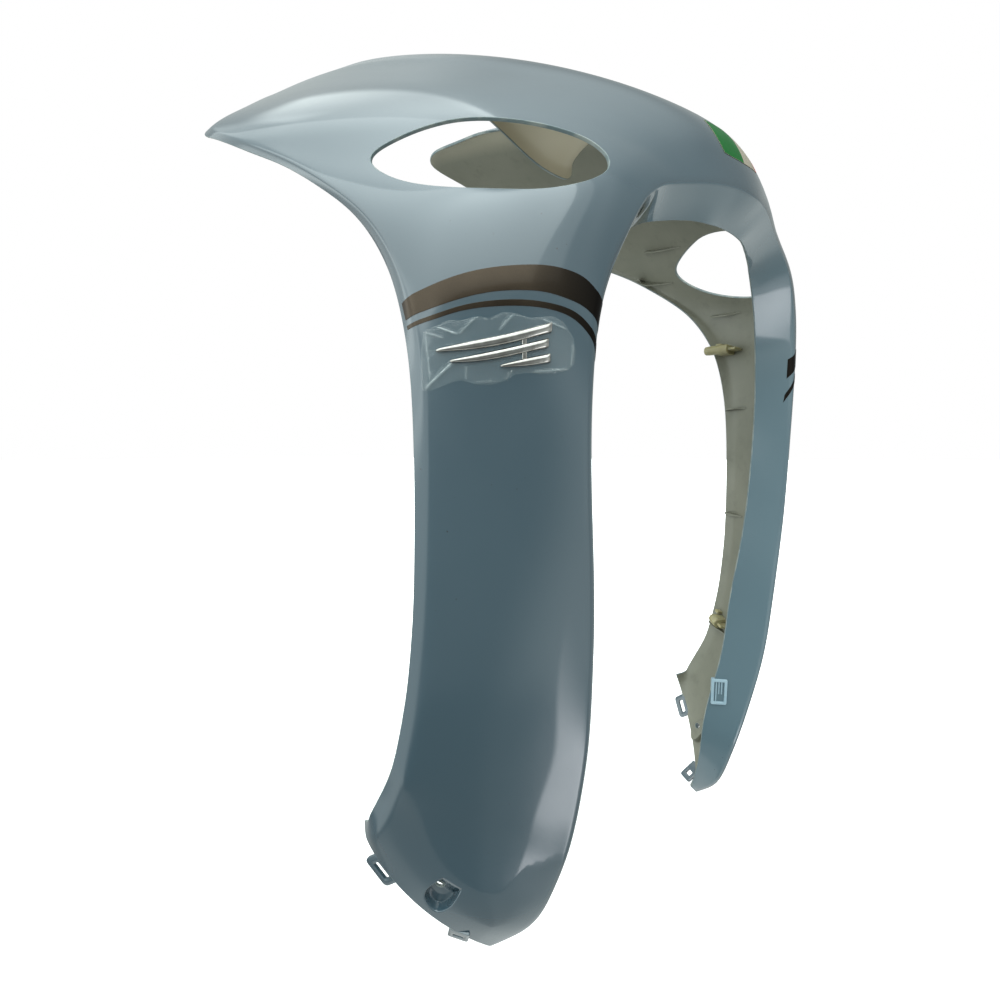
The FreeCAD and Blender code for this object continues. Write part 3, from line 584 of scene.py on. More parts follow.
def mix(nt, fac, a, b, mode="MIX"):
    n = nt.nodes.new("ShaderNodeMix")
    n.data_type = "RGBA"
    n.blend_type = mode
    for sock, v in ((n.inputs[0], fac), (n.inputs[6], a), (n.inputs[7], b)):
        if isinstance(v, bpy.types.NodeSocket):
            nt.links.new(v, sock)
        elif np.isscalar(v):
            sock.default_value = v
        else:
            sock.default_value = tuple(v) + (1.0,)
    return n.outputs[2]


def math_node(nt, op, a, b=None, c=None):
    n = nt.nodes.new("ShaderNodeMath")
    n.operation = op
    for k, v in enumerate((a, b, c)):
        if v is None:
            continue
        if isinstance(v, bpy.types.NodeSocket):
            nt.links.new(v, n.inputs[k])
        else:
            n.inputs[k].default_value = v
    return n.outputs[0]


def bump(nt, height, strength, dist, normal=None):
    n = nt.nodes.new("ShaderNodeBump")
    n.inputs["Strength"].default_value = strength
    n.inputs["Distance"].default_value = dist
    nt.links.new(height, n.inputs["Height"])
    if normal is not None:
        nt.links.new(normal, n.inputs["Normal"])
    return n.outputs[0]


def obj_coords(nt, scale=(1, 1, 1)):
    tc = nt.nodes.new("ShaderNodeTexCoord")
    mp = nt.nodes.new("ShaderNodeMapping")
    mp.inputs["Scale"].default_value = scale
    nt.links.new(tc.outputs["Object"], mp.inputs["Vector"])
    return mp.outputs[0]


def paint_material():
    m, nt, b = material("cover_paint")
    co = obj_coords(nt)
    big = noise(nt, co, 5.0, 3.0)
    base = mix(nt, ramp(nt, big, [(0.35, 0.0), (0.7, 1.0)]), (0.0285, 0.0525, 0.0680), (0.0315, 0.0570, 0.0730))
    place = nt.nodes.new("ShaderNodeAttribute")
    place.attribute_name = "place"
    psep = nt.nodes.new("ShaderNodeSeparateXYZ")
    nt.links.new(place.outputs["Vector"], psep.inputs[0])
    # Painted light: the flange strip beside the arch is made lighter than the side panel, for the extra light it
    # catches.
    flange = ramp(nt, psep.outputs[0], [(0.775, 0.0), (0.795, 1.0)])
    base = mix(nt, flange, base, mix(nt, big, (0.070, 0.116, 0.140), (0.078, 0.126, 0.150)))
    speck = ramp(nt, noise(nt, co, 300.0, 2.0), [(0.74, 0.0), (0.77, 1.0)])
    patch = ramp(nt, noise(nt, co, 9.0, 4.0), [(0.50, 0.0), (0.66, 1.0)])
    base = mix(nt, math_node(nt, "MULTIPLY", math_node(nt, "MULTIPLY", speck, patch), 0.75), base, (0.015, 0.018, 0.018))
    nt.links.new(base, b.inputs["Base Color"])
    smear = ramp(nt, noise(nt, co, 26.0, 6.0, 0.65, 0.6), [(0.3, 0.16), (0.75, 0.26)])
    nt.links.new(smear, b.inputs["Roughness"])
    scr = noise(nt, obj_coords(nt, (900.0, 900.0, 26.0)), 1.0, 1.0)
    orange = noise(nt, co, 260.0, 2.0)
    h = math_node(nt, "ADD", math_node(nt, "MULTIPLY", ramp(nt, scr, [(0.70, 0.0), (0.78, 1.0)]), 0.25), orange)
    nt.links.new(bump(nt, h, 0.05, 0.0006), b.inputs["Normal"])
    b.inputs["Coat Weight"].default_value = 1.0
    b.inputs["Coat Roughness"].default_value = 0.03
    b.inputs["IOR"].default_value = 1.5
    return m


def inside_material():
    m, nt, b = material("cover_inside")
    co = obj_coords(nt)
    mott = noise(nt, co, 14.0, 5.0, 0.6)
    base = mix(nt, ramp(nt, mott, [(0.3, 0.0), (0.72, 1.0)]), (0.125, 0.125, 0.092), (0.170, 0.165, 0.125))
    grime = ramp(nt, noise(nt, co, 60.0, 6.0, 0.7), [(0.55, 0.0), (0.8, 0.5)])
    base = mix(nt, grime, base, (0.075, 0.072, 0.055))
    sep = nt.nodes.new("ShaderNodeSeparateXYZ")
    nt.links.new(co, sep.inputs[0])
    middle = ramp(nt, math_node(nt, "MULTIPLY", math_node(nt, "ABSOLUTE", sep.outputs[0]), 5.0), [(0.32, 1.0), (0.52, 0.0)])
    high = ramp(nt, sep.outputs[2], [(0.44, 0.0), (0.50, 1.0)])
    base = mix(nt, math_node(nt, "MULTIPLY", middle, high), base, (0.52, 0.47, 0.35))
    nt.links.new(base, b.inputs["Base Color"])
    nt.links.new(ramp(nt, noise(nt, co, 30.0, 3.0), [(0.3, 0.38), (0.7, 0.55)]), b.inputs["Roughness"])
    nt.links.new(bump(nt, noise(nt, co, 500.0, 2.0), 0.12, 0.0004), b.inputs["Normal"])
    return m


def edge_material():
    m, nt, b = material("cover_edge")
    co = obj_coords(nt)
    worn = ramp(nt, noise(nt, co, 90.0, 4.0), [(0.45, 0.0), (0.62, 1.0)])
    nt.links.new(mix(nt, worn, (0.10, 0.135, 0.14), (0.19, 0.215, 0.20)), b.inputs["Base Color"])
    nt.links.new(ramp(nt, noise(nt, co, 120.0, 3.0), [(0.3, 0.28), (0.7, 0.45)]), b.inputs["Roughness"])
    return m


PAINT, INSIDE, EDGE = paint_material(), inside_material(), edge_material()

# ---------------------------------------------------------------- build the shell
places, faces = shell_faces()
P, N = surf_n(places[:, 0], places[:, 1])
sunk = pocket_depth(places[:, 0], places[:, 1])
P = P - N * sunk[:, None]
pocket = (np.where(places[:, 1] > T_MID, T_END - places[:, 1], places[:, 1]) < 36.0) & (places[:, 0] > 0.338) & (places[:, 0] < 0.482)


FOOT_FOLD = [(0.0, 96.0), (0.086, 82.5), (0.147, 68.7), (0.226, 55.4), (0.301, 46.2), (0.364, 40.8), (0.434, 37.6), (0.50, 36.5),
             (0.56, 40.0), (0.61, 60.0), (0.67, 66.0), (0.72, 73.0), (1.0, 80.0)]


def even_normals(w, t):
    """Shading normals of the face: evened along the sheet, crisp at the crease beside the arch; and the way up the leg."""
    t_in = np.minimum(t, T_END - t)
    u = (w - 0.785) / 0.08
    turned = np.where(np.abs(u) < 1.0, 0.785 + 0.08 * np.sign(u) * np.abs(u) ** 0.35, w)
    wn_ = w + (turned - w) * smooth(t_in, 440.0, 520.0)
    spread = 4.0 + 18.0 * smooth(t_in, 420.0, 520.0)
    w0, w1 = np.maximum(wn_ - 0.003, 0.0), np.minimum(wn_ + 0.003, 1.0)
    out = []
    for i in range(0, len(w), 6000):
        a, b, c, tt, sp = w0[i:i + 6000], w1[i:i + 6000], wn_[i:i + 6000], t[i:i + 6000], spread[i:i + 6000]
        t0, t1 = np.maximum(tt - sp, 0.0), np.minimum(tt + sp, T_END)
        across = unit(surf(b, t0) - surf(a, t0)) + 1.4 * unit(surf(b, tt) - surf(a, tt)) + unit(surf(b, t1) - surf(a, t1))
        out.append(np.stack([across, surf(c, np.minimum(tt + 1.5 * sp, T_END)) - surf(c, np.maximum(tt - 1.5 * sp, 0.0))]))
    out = np.concatenate(out, axis=1)
    up = unit(out[1]) * np.where(t < T_MID, 1.0, -1.0)[:, None]
    return unit(np.cross(out[0], out[1])), up


def fold_foot(n, w, t, up):
    """The foot's lower zone leans a little more to the ground than the leg above it."""
    t_in = np.minimum(t, T_END - t)
    edge = np.interp(w, [q[0] for q in FOOT_FOLD], [q[1] for q in FOOT_FOLD])
    lean = 0.075 * (1.0 - smooth(t_in - edge, -4.0, 4.0))
    return unit(n - up * lean[:, None])


shell = Build()
face_n, up_leg = even_normals(places[:, 0], places[:, 1])
face_n = fold_foot(mesh_normals(P, faces, face_n, pocket), places[:, 0], places[:, 1], up_leg)
thick_sheet(shell, P, N, faces, WALL, (0, 1, 2), RIM_R, face_n)
mark = np.zeros((shell.count, 3))
mark[:len(P), 0] = mark[len(P):2 * len(P), 0] = places[:, 0]
cover = shell.make("front_cover_moulding", [PAINT, INSIDE, EDGE], mark)
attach(cover, "root")
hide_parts("front_cover_shell")


# ---------------------------------------------------------------- small mouldings
def frame_at(w, t):
    """Place, across direction, along direction and outward direction of the surface."""
    p, n = surf_n([w], [t])
    d = surf(np.array([min(w + 0.004, 1.0)]), np.array([t])) - surf(np.array([max(w - 0.004, 0.0)]), np.array([t]))
    n = n[0]
    ew = unit(d[0] - n * (d[0] @ n))
    return p[0], ew, np.cross(n, ew), n


def corner_rect(x0, x1, y0, y1, radii, steps=5):
    """Rounded rectangle, counter-clockwise; radii for the corners (x1,y1), (x0,y1), (x0,y0), (x1,y0)."""
    out = []
    for k, (cx, cy, sx, sy) in enumerate(((x1, y1, 1, 1), (x0, y1, -1, 1), (x0, y0, -1, -1), (x1, y0, 1, -1))):
        r = radii[k]
        for q in range(steps + 1):
            a = math.radians(90 * k + 90 * q / steps)
            out.append((cx - sx * r + r * math.cos(a), cy - sy * r + r * math.sin(a)))
    return np.array(out)


class Detail:
    """Closed solids of the right half in millimetres; made into one object with their mirror images."""

    def __init__(self):
        self.bm = bmesh.new()

    def place(self, frame, pts):
        o, ex, ey, ez = frame
        p = np.asarray(pts, float)
        return [self.bm.verts.new(tuple(o + ex * a + ey * b + ez * c)) for a, b, c in p]

    def face(self, verts, mat):
        f = self.bm.faces.new(verts)
        f.material_index = mat
        f.smooth = True
        return f

    def ring(self, a, b, mat):
        for k in range(len(a)):
            q = (k + 1) % len(a)
            self.face((a[k], a[q], b[q], b[k]), mat)

    def plate(self, frame, outline, z0, z1, hole=None, mat=0, taper=0.0):
        """A plate of a given outline, with a hole of as many points if given."""
        o = np.asarray(outline, float)
        mid = o.mean(0)
        top = mid + (o - mid) * (1.0 - taper)
        lo = self.place(frame, [(x, y, z0) for x, y in o])
        hi = self.place(frame, [(x, y, z1) for x, y in top])
        self.ring(lo, hi, mat)
        if hole is None:
            self.face(hi, mat)
            self.face(lo[::-1], mat)
            return
        il = self.place(frame, [(x, y, z0) for x, y in hole])
        ih = self.place(frame, [(x, y, z1) for x, y in hole])
        self.ring(ih, il, mat)
        self.ring(hi, ih, mat)
        self.ring(il, lo, mat)

    def lathe(self, at, axis_dir, profile, n=28, mat=0):
        """A body of revolution; profile as (along, radius), from one end of the axis to the other."""
        d = unit(np.asarray(axis_dir, float))
        x = unit(np.cross(d, [0.3, 0.2, 0.9]))
        y = np.cross(d, x)
        rows = []
        for a, r in profile:
            if r < 1e-6:
                rows.append([self.bm.verts.new(tuple(at + d * a))])
            else:
                rows.append([self.bm.verts.new(tuple(at + d * a + (x * math.cos(2 * math.pi * k / n) + y * math.sin(2 * math.pi * k / n)) * r)) for k in range(n)])
        for r0, r1 in zip(rows[:-1], rows[1:]):
            for k in range(n):
                q = (k + 1) % n
                if len(r0) == 1:
                    self.face((r0[0], r1[q], r1[k]), mat)
                elif len(r1) == 1:
                    self.face((r0[k], r0[q], r1[0]), mat)
                else:
                    self.face((r0[k], r0[q], r1[q], r1[k]), mat)

    def strake(self, rows, mat=0):
        """A blade from cross-sections of equal point count."""
        vs = [[self.bm.verts.new(tuple(p)) for p in r] for r in rows]
        for a, b in zip(vs[:-1], vs[1:]):
            self.ring(a, b, mat)
        self.face(vs[0][::-1], mat)
        self.face(vs[-1], mat)

    def make(self, name, materials, bevel=0.35, seg=2, angle=35.0, slot="paint"):
        bm = self.bm
        bmesh.ops.recalc_face_normals(bm, faces=bm.faces)
        if bevel:
            edges = [e for e in bm.edges if e.is_manifold and e.calc_face_angle(0.0) > math.radians(angle)]
            bmesh.ops.bevel(bm, geom=edges, offset=bevel, segments=seg, profile=0.5, affect="EDGES", clamp_overlap=True)
        bmesh.ops.recalc_face_normals(bm, faces=bm.faces)
        bm.verts.index_update()
        v = np.array([tuple(q.co) for q in bm.verts])
        f = [tuple(q.index for q in p.verts) for p in bm.faces]
        m = [p.material_index for p in bm.faces]
        n = len(v)
        both = np.concatenate([v, v * np.array([-1.0, 1.0, 1.0])])
        f = f + [tuple(n + i for i in p[::-1]) for p in f]
        me = bpy.data.meshes.new(name)
        me.from_pydata(to_row(both).tolist(), [], f)
        for q in materials:
            me.materials.append(q)
        me.polygons.foreach_set("material_index", np.array(m + m, np.int32))
        me.polygons.foreach_set("use_smooth", np.ones(len(me.polygons), bool))
        me.set_sharp_from_angle(angle=math.radians(38))
        me.update()
        ob = bpy.data.objects.new(name, me)
        bpy.context.scene.collection.objects.link(ob)
        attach(ob, "root")
        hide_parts("front_cover_shell")
        bm.free()
        return ob


def ivory_material():
    m, nt, b = material("bare_moulding")
    co = obj_coords(nt)
    t = ramp(nt, noise(nt, co, 55.0, 4.0, 0.6), [(0.32, 0.0), (0.7, 1.0)])
    base = mix(nt, t, (0.26, 0.23, 0.11), (0.38, 0.34, 0.20))
    dirt = ramp(nt, noise(nt, co, 140.0, 5.0, 0.7), [(0.55, 0.0), (0.8, 0.55)])
    nt.links.new(mix(nt, dirt, base, (0.20, 0.18, 0.09)), b.inputs["Base Color"])
    nt.links.new(ramp(nt, noise(nt, co, 80.0, 3.0), [(0.3, 0.34), (0.7, 0.50)]), b.inputs["Roughness"])
    nt.links.new(bump(nt, noise(nt, co, 700.0, 2.0), 0.15, 0.0003), b.inputs["Normal"])
    b.inputs["Subsurface Weight"].default_value = 0.25
    b.inputs["Subsurface Radius"].default_value = (0.004, 0.003, 0.0015)
    return m


def socket_material():
    m, nt, b = material("socket_paint")
    co = obj_coords(nt)
    t = ramp(nt, noise(nt, co, 70.0, 4.0), [(0.3, 0.0), (0.7, 1.0)])
    nt.links.new(mix(nt, t, (0.20, 0.29, 0.345), (0.265, 0.36, 0.41)), b.inputs["Base Color"])
    nt.links.new(ramp(nt, noise(nt, co, 110.0, 3.0), [(0.3, 0.26), (0.7, 0.40)]), b.inputs["Roughness"])
    return m


IVORY, SOCKET = ivory_material(), socket_material()

# Hook tab with a slot at the foot's edge, in line with the wall.
p, ew, et, n = frame_at(0.23, 0.0)
out_dir = -et
tabs = Detail()
tab_frame = (p - ew * 1.6 - n * 1.6 + et * 0.6, ew, out_dir, np.cross(ew, out_dir))
tabs.plate(tab_frame, corner_rect(-10.6, 10.6, -1.2, 10.6, (3.2, 3.2, 0.6, 0.6)), -1.2, 1.2,
           corner_rect(-5.6, 6.2, 2.2, 6.6, (0.9, 0.9, 0.9, 0.9)))
# Low tab with a slot, behind the tip of the foot.
p, ew, et, n = frame_at(0.60, 0.0)
d = unit(np.array([-161.0, 17.0, -4.0]) - p)
e = unit(np.cross(d, unit(np.cross(ew, d))))
tabs.plate((p - n * 1.3, d, e, np.cross(d, e)), corner_rect(-2.0, 15.5, -6.5, 6.8, (2.4, 1.0, 1.0, 2.0)), -1.2, 1.2,
           corner_rect(6.6, 10.8, -3.2, 3.2, (0.8, 0.8, 0.8, 0.8)))
tabs.make("foot_tabs", [PAINT])

# Stiffening ribs across the rear edge on the inside.
ribs = Detail()
for t, w0, w1, tall, beyond in ((544.0, 0.02, 0.22, 6.5, 0.0), (372.0, 0.01, 0.20, 6.5, 0.0), (253.0, 0.01, 0.20, 6.5, 0.0),
                                (118.0, 0.01, 0.22, 7.5, 0.0), (603.0, 0.30, 0.40, 4.2, 0.0), (484.0, 0.16, 0.30, 4.6, 0.0),
                                (656.0, 0.02, 0.16, 3.4, 0.0)):
    ws = np.linspace(w0, w1, 11)
    Pr, Nr = surf_n(ws, np.full(11, t))
    ahead = unit(Pr[1] - Pr[0])
    side = unit(np.cross(Nr[5], unit(Pr[6] - Pr[4])))
    rows = []
    s = np.linspace(0.0, 1.0, 11)
    deep = tall * (0.62 + 0.38 * smooth(s, 0.0, 0.22)) * (1.0 - 0.92 * smooth(s, 0.45, 1.0))
    if beyond:
        Pr = np.concatenate([[Pr[0] - ahead * beyond], Pr])
        Nr = np.concatenate([Nr[:1], Nr])
        deep = np.concatenate([[0.48 * tall], deep])
    for q, m, h in zip(Pr, Nr, deep):
        top = q - m * (WALL - 0.5)
        bot = q - m * (WALL + max(h, 0.35))
        rows.append([top - side * 0.95, top + side * 0.95, bot + side * 0.8, bot - side * 0.8])
    ribs.strake(rows)
ribs.make("inner_ribs", [INSIDE], bevel=0.3)

# Round pegs beside the rear edge, each on crossed ribs.
posts = Detail()
for t, w, sunk_by, long in ((438.0, 0.115, 15.0, 14.5), (128.0, 0.125, 8.0, 5.0)):
    p, ew, et, n = frame_at(w, t)
    base = p - n * (WALL + sunk_by)
    posts.lathe(base, -ew, [(-9.0, 0.0), (-9.0, 4.2), (long - 5.0, 4.2), (long - 1.2, 3.9), (long - 0.3, 3.2), (long, 2.2), (long, 0.0)])
    f = (base, ew, et, n)
    posts.plate(f, corner_rect(-8.0, 16.0, -1.1, 1.1, (0.3, 0.3, 0.3, 0.3), 2), -1.0, sunk_by + 0.7)
    posts.plate(f, corner_rect(-4.0, 8.0, -4.2, 4.2, (0.8, 0.8, 0.8, 0.8), 2), 0.0, sunk_by + 0.7)
    posts.plate(f, corner_rect(-9.0, -3.0, 4.6, 7.4, (0.8, 0.8, 0.8, 0.8), 2), sunk_by - 5.0, sunk_by + 0.9)
posts.make("inner_pegs", [IVORY], bevel=0.3)

# Clip sockets on the flange's inner edge, low on the legs.
p, ew, et, n = frame_at(0.966, 115.0)
clip = Detail()
f = (p, ew, et, n)
clip.plate(f, corner_rect(-7.0, 6.0, -11.0, 11.0, (1.2, 1.2, 1.2, 1.2), 3), -4.6, 1.3, corner_rect(-4.8, 3.8, -8.6, 8.6, (0.6, 0.6, 0.6, 0.6), 3))
clip.plate(f, corner_rect(-5.4, 4.4, -9.2, 9.2, (0.5, 0.5, 0.5, 0.5), 3), -5.0, -3.0, corner_rect(-3.6, -0.8, -7.2, -2.6, (0.4, 0.4, 0.4, 0.4), 3))
for x in (-2.6, -0.3, 2.0):
    clip.plate(f, corner_rect(x - 0.45, x + 0.45, -2.2 if x < 0 else -8.8, 8.8, (0.1, 0.1, 0.1, 0.1), 2), -3.4, 0.5)
clip.plate(f, corner_rect(-9.5, -4.0, -13.5, -9.0, (0.8, 0.8, 0.8, 0.8), 2), -4.0, -1.2)
clip.make("clip_sockets", [SOCKET], bevel=0.25)


# ---------------------------------------------------------------- stickers and trim
def curve_at(pts, w):
    p = np.array(pts, float)
    if len(p) < 3:
        return np.interp(w, p[:, 0], p[:, 1])
    sec = spline_second(p[:, 0], p[:, 1:])
    i = np.clip(np.searchsorted(p[:, 0], w, side="right") - 1, 0, len(p) - 2)
    h = p[i + 1, 0] - p[i, 0]
    a = (p[i + 1, 0] - w) / h
    b = 1.0 - a
    return a * p[i, 1] + b * p[i + 1, 1] + (a ** 3 - a) * h * h / 6 * sec[i, 0] + (b ** 3 - b) * h * h / 6 * sec[i + 1, 0]


def band(up, lo, nw, nt):
    """Grid over the band between two curves: places (w, t), faces, and the grid's own shares."""
    u, v = np.meshgrid(np.linspace(0, 1, nw), np.linspace(0, 1, nt), indexing="ij")
    wu = up[0][0] + (up[-1][0] - up[0][0]) * u.ravel()
    wl = lo[0][0] + (lo[-1][0] - lo[0][0]) * u.ravel()
    tu, tl = curve_at(up, wu), curve_at(lo, wl)
    k = v.ravel()
    w, t = wl + (wu - wl) * k, tl + (tu - tl) * k
    faces = []
    for i in range(nw - 1):
        for j in range(nt - 1):
            faces.append((i * nt + j, (i + 1) * nt + j, (i + 1) * nt + j + 1, i * nt + j + 1))
    return w, t, faces, u.ravel(), k


def sticker(build, w, t, faces, mats, low=0.05, high=0.25, left=False, rho=0.08):
    if left:
        t = T_END - t
        faces = [f[::-1] for f in faces]
    Ps, Ns = surf_n(w, t)
    thick_sheet(build, Ps + Ns * high, Ns, faces, high - low, mats, rho)


STRIPE_WIDE = ([(0.030, 420.3), (0.154, 426.7), (0.278, 432.6), (0.381, 435.4), (0.479, 436.3), (0.553, 436.3),
                (0.633, 434.1), (0.692, 430.0), (0.755, 421.5), (0.828, 413.0)],
               [(0.030, 409.4), (0.131, 412.9), (0.263, 417.9), (0.375, 420.9), (0.481, 421.3), (0.562, 420.1),
                (0.651, 416.0), (0.714, 411.2), (0.770, 403.2), (0.832, 393.5)])
STRIPE_THIN = ([(0.030, 405.5), (0.161, 409.8), (0.287, 414.3), (0.399, 415.8), (0.508, 415.2), (0.593, 412.9),
                (0.688, 406.9), (0.765, 394.8), (0.838, 377.8)],
               [(0.030, 403.3), (0.158, 407.1), (0.284, 411.3), (0.397, 412.3), (0.508, 411.6), (0.595, 409.2),
                (0.692, 401.8), (0.765, 389.3), (0.844, 370.4)])


# Where along the leg the stripe film turns darker towards its front end: painted shade standing in for the dark
# reflection it shows there.
STRIPE_FRONT_SHADE = [tuple((-5.0 * float(to_row(surf(np.array([q]), np.array([425.0])))[0][1]), c)) for q, c in ((0.50, 0.0), (0.74, 0.93))]


def stripe_material():
    m, nt, b = material("stripe_film")
    co = obj_coords(nt)
    flake = noise(nt, co, 2600.0, 1.0)
    big = ramp(nt, noise(nt, co, 22.0, 3.0), [(0.3, 0.0), (0.7, 1.0)])
    base = mix(nt, big, (0.040, 0.030, 0.021), (0.049, 0.037, 0.026))
    base = mix(nt, ramp(nt, flake, [(0.45, 0.0), (0.75, 0.35)]), base, (0.078, 0.059, 0.042))
    sep = nt.nodes.new("ShaderNodeSeparateXYZ")
    nt.links.new(co, sep.inputs[0])
    # Painted shade: the film's colour goes almost black towards the front of the leg.
    front = ramp(nt, math_node(nt, "MULTIPLY", sep.outputs[1], -5.0), STRIPE_FRONT_SHADE)
    base = mix(nt, front, base, (0.004, 0.003, 0.0025))
    nt.links.new(base, b.inputs["Base Color"])
    nt.links.new(ramp(nt, noise(nt, co, 60.0, 4.0), [(0.3, 0.15), (0.75, 0.24)]), b.inputs["Roughness"])
    b.inputs["Metallic"].default_value = 1.0
    b.inputs["Coat Weight"].default_value = 0.15
    b.inputs["Coat Roughness"].default_value = 0.05
    return m


def flag_material(name, c0, c1):
    m, nt, b = material(name)
    co = obj_coords(nt)
    t = ramp(nt, noise(nt, co, 60.0, 4.0), [(0.3, 0.0), (0.7, 1.0)])
    nt.links.new(mix(nt, t, c0, c1), b.inputs["Base Color"])
    nt.links.new(ramp(nt, noise(nt, co, 90.0, 3.0), [(0.3, 0.30), (0.7, 0.42)]), b.inputs["Roughness"])
    nt.links.new(bump(nt, noise(nt, co, 900.0, 2.0), 0.06, 0.0002), b.inputs["Normal"])
    b.inputs["Specular IOR Level"].default_value = 0.12
    return m


STRIPE = stripe_material()
for side in ("right", "left"):
    st = Build()
    for up, lo in (STRIPE_WIDE, STRIPE_THIN):
        w, t, fs, _, _ = band(up, lo, 130, 9)
        sticker(st, w, t, fs, (0, 0, 0), left=side == "left")
    ob = st.make("stripes_" + side, [STRIPE])
    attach(ob, "root")
    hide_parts("stripe_decals_" + side)

FLAG_L, FLAG_R = [(0.580, 904.0), (0.692, 864.7)], [(0.580, 993.6), (0.692, 984.6)]
GREEN = flag_material("flag_green", (0.002, 0.080, 0.011), (0.003, 0.100, 0.015))
CREAM = flag_material("flag_cream", (0.26, 0.225, 0.175), (0.31, 0.27, 0.21))
RED = flag_material("flag_red", (0.30, 0.012, 0.012), (0.36, 0.018, 0.016))
fl = Build()
w, t, fs, share, across = band(FLAG_R, FLAG_L, 24, 61)
Pf, Nf = surf_n(w, t)
mid = np.array([np.mean([across[i] for i in f]) for f in fs])
tone = np.where(mid < 0.5, 0, np.where(mid < 0.90, 1, 2))
if np.cross(Pf[fs[0][1]] - Pf[fs[0][0]], Pf[fs[0][2]] - Pf[fs[0][0]]) @ Nf[fs[0][0]] < 0:
    fs = [f[::-1] for f in fs]
thick_sheet(fl, Pf + Nf * 0.25, Nf, fs, 0.2, (tone, tone, 1), 0.08)
ob = fl.make("brow_flag", [GREEN, CREAM, RED])
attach(ob, "root")
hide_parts("flag_decal")


def chrome_material():
    m, nt, b = material("trim_chrome")
    co = obj_coords(nt)
    t = ramp(nt, noise(nt, co, 120.0, 4.0, 0.6), [(0.35, 0.0), (0.7, 1.0)])
    nt.links.new(mix(nt, t, (0.30, 0.285, 0.265), (0.43, 0.42, 0.395)), b.inputs["Base Color"])
    nt.links.new(ramp(nt, noise(nt, co, 240.0, 4.0), [(0.35, 0.07), (0.75, 0.20)]), b.inputs["Roughness"])
    nt.links.new(bump(nt, noise(nt, co, 500.0, 2.0), 0.05, 0.0003), b.inputs["Normal"])
    b.inputs["Metallic"].default_value = 1.0
    return m


BARS = [([(0.158, 389.2), (0.292, 392.4), (0.441, 396.0), (0.591, 401.8)],
         [(0.158, 387.2), (0.292, 387.4), (0.441, 390.2), (0.591, 395.7)]),
        ([(0.206, 382.0), (0.325, 384.8), (0.476, 388.8), (0.582, 392.4)],
         [(0.206, 380.2), (0.325, 380.2), (0.476, 383.6), (0.582, 386.8)]),
        ([(0.399, 377.7), (0.495, 380.8), (0.591, 383.4)],
         [(0.399, 376.1), (0.495, 376.2), (0.591, 378.0)])]
LINK = ([(0.483, 395.8), (0.501, 396.2)], [(0.483, 378.8), (0.501, 379.2)])


def bar(build, up, lo, nw, nt, low, high, mat=0):
    """A raised bar with a rounded top over the band between two curves."""
    w, t, fs, u, v = band(up, lo, nw, nt)
    Pb, Nb = surf_n(w, t)
    x = np.abs(2.0 * v - 1.0)
    length = 0.5 * np.linalg.norm(Pb[0] - Pb[-1])
    e = np.clip(np.minimum(u, 1.0 - u) * length / 1.2, 0.0, 1.0)
    h = low + (high - low) * (0.42 + 0.58 * np.sqrt(np.maximum(1.0 - x ** 2.6, 0.0))) * (0.55 + 0.45 * np.sqrt(1.0 - (1.0 - e) ** 2))
    top = Pb + Nb * h[:, None]
    shade = mesh_normals(top, fs, Nb, np.ones(len(top), bool))
    base = build.add(top, shade, fs, mat)
    foot = Pb + Nb * low
    build.add(foot, -Nb, [f[::-1] for f in fs], mat)
    loop = np.array(border_loops(fs)[0])
    d = unit(np.roll(top[loop], -1, 0) - np.roll(top[loop], 1, 0))
    e2 = unit(np.cross(d, Nb[loop]))
    k = build.add(np.concatenate([top[loop], foot[loop]]), np.concatenate([e2, e2]), [], mat)
    m = len(loop)
    fs2 = [(k + (q + 1) % m, k + q, k + m + q, k + m + (q + 1) % m) for q in range(m)]
    build.f += fs2
    build.m += [mat] * m


CHROME = chrome_material()
em = Build()
for up, lo in BARS:
    bar(em, up, lo, 60, 13, 0.05, 2.25)
bar(em, LINK[0], LINK[1], 9, 41, 0.30, 1.25)
ob = em.make("emblem_bars", [CHROME])
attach(ob, "root")
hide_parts("emblem_right")


# Clear film left on the badge place, crumpled.
FILM_LINE = [(0.062, 363.8), (0.110, 363.6), (0.168, 366.4), (0.206, 368.4), (0.240, 369.2), (0.302, 366.2), (0.360, 365.8),
             (0.418, 368.0), (0.452, 371.4), (0.495, 372.2), (0.553, 371.4), (0.611, 371.6), (0.661, 373.0), (0.686, 376.3),
             (0.688, 383.8), (0.678, 391.8), (0.657, 396.8), (0.630, 402.3), (0.591, 405.4), (0.558, 405.0), (0.514, 404.4),
             (0.456, 407.8), (0.418, 408.4), (0.370, 405.4), (0.326, 407.0), (0.274, 405.2), (0.225, 406.2), (0.177, 403.4),
             (0.124, 400.8), (0.095, 391.8), (0.073, 377.8)]
FILM_WX = float(np.linalg.norm(np.diff(surf(np.array([0.3, 0.5]), np.array([386.0, 386.0])), axis=0))) / 0.2


def crease(q, a, b, high, wide):
    """Height of a fold along a straight line."""
    a, b = np.array(a) * (FILM_WX, 1.0), np.array(b) * (FILM_WX, 1.0)
    ab = b - a
    k = np.clip(((q - a) @ ab) / (ab @ ab), 0, 1)
    d = np.linalg.norm(q - (a + k[:, None] * ab), axis=1)
    return high * np.clip(1.0 - d / wide, 0, 1) * np.sqrt(np.clip(np.minimum(k, 1 - k) * 8.0, 0.0, 1.0))


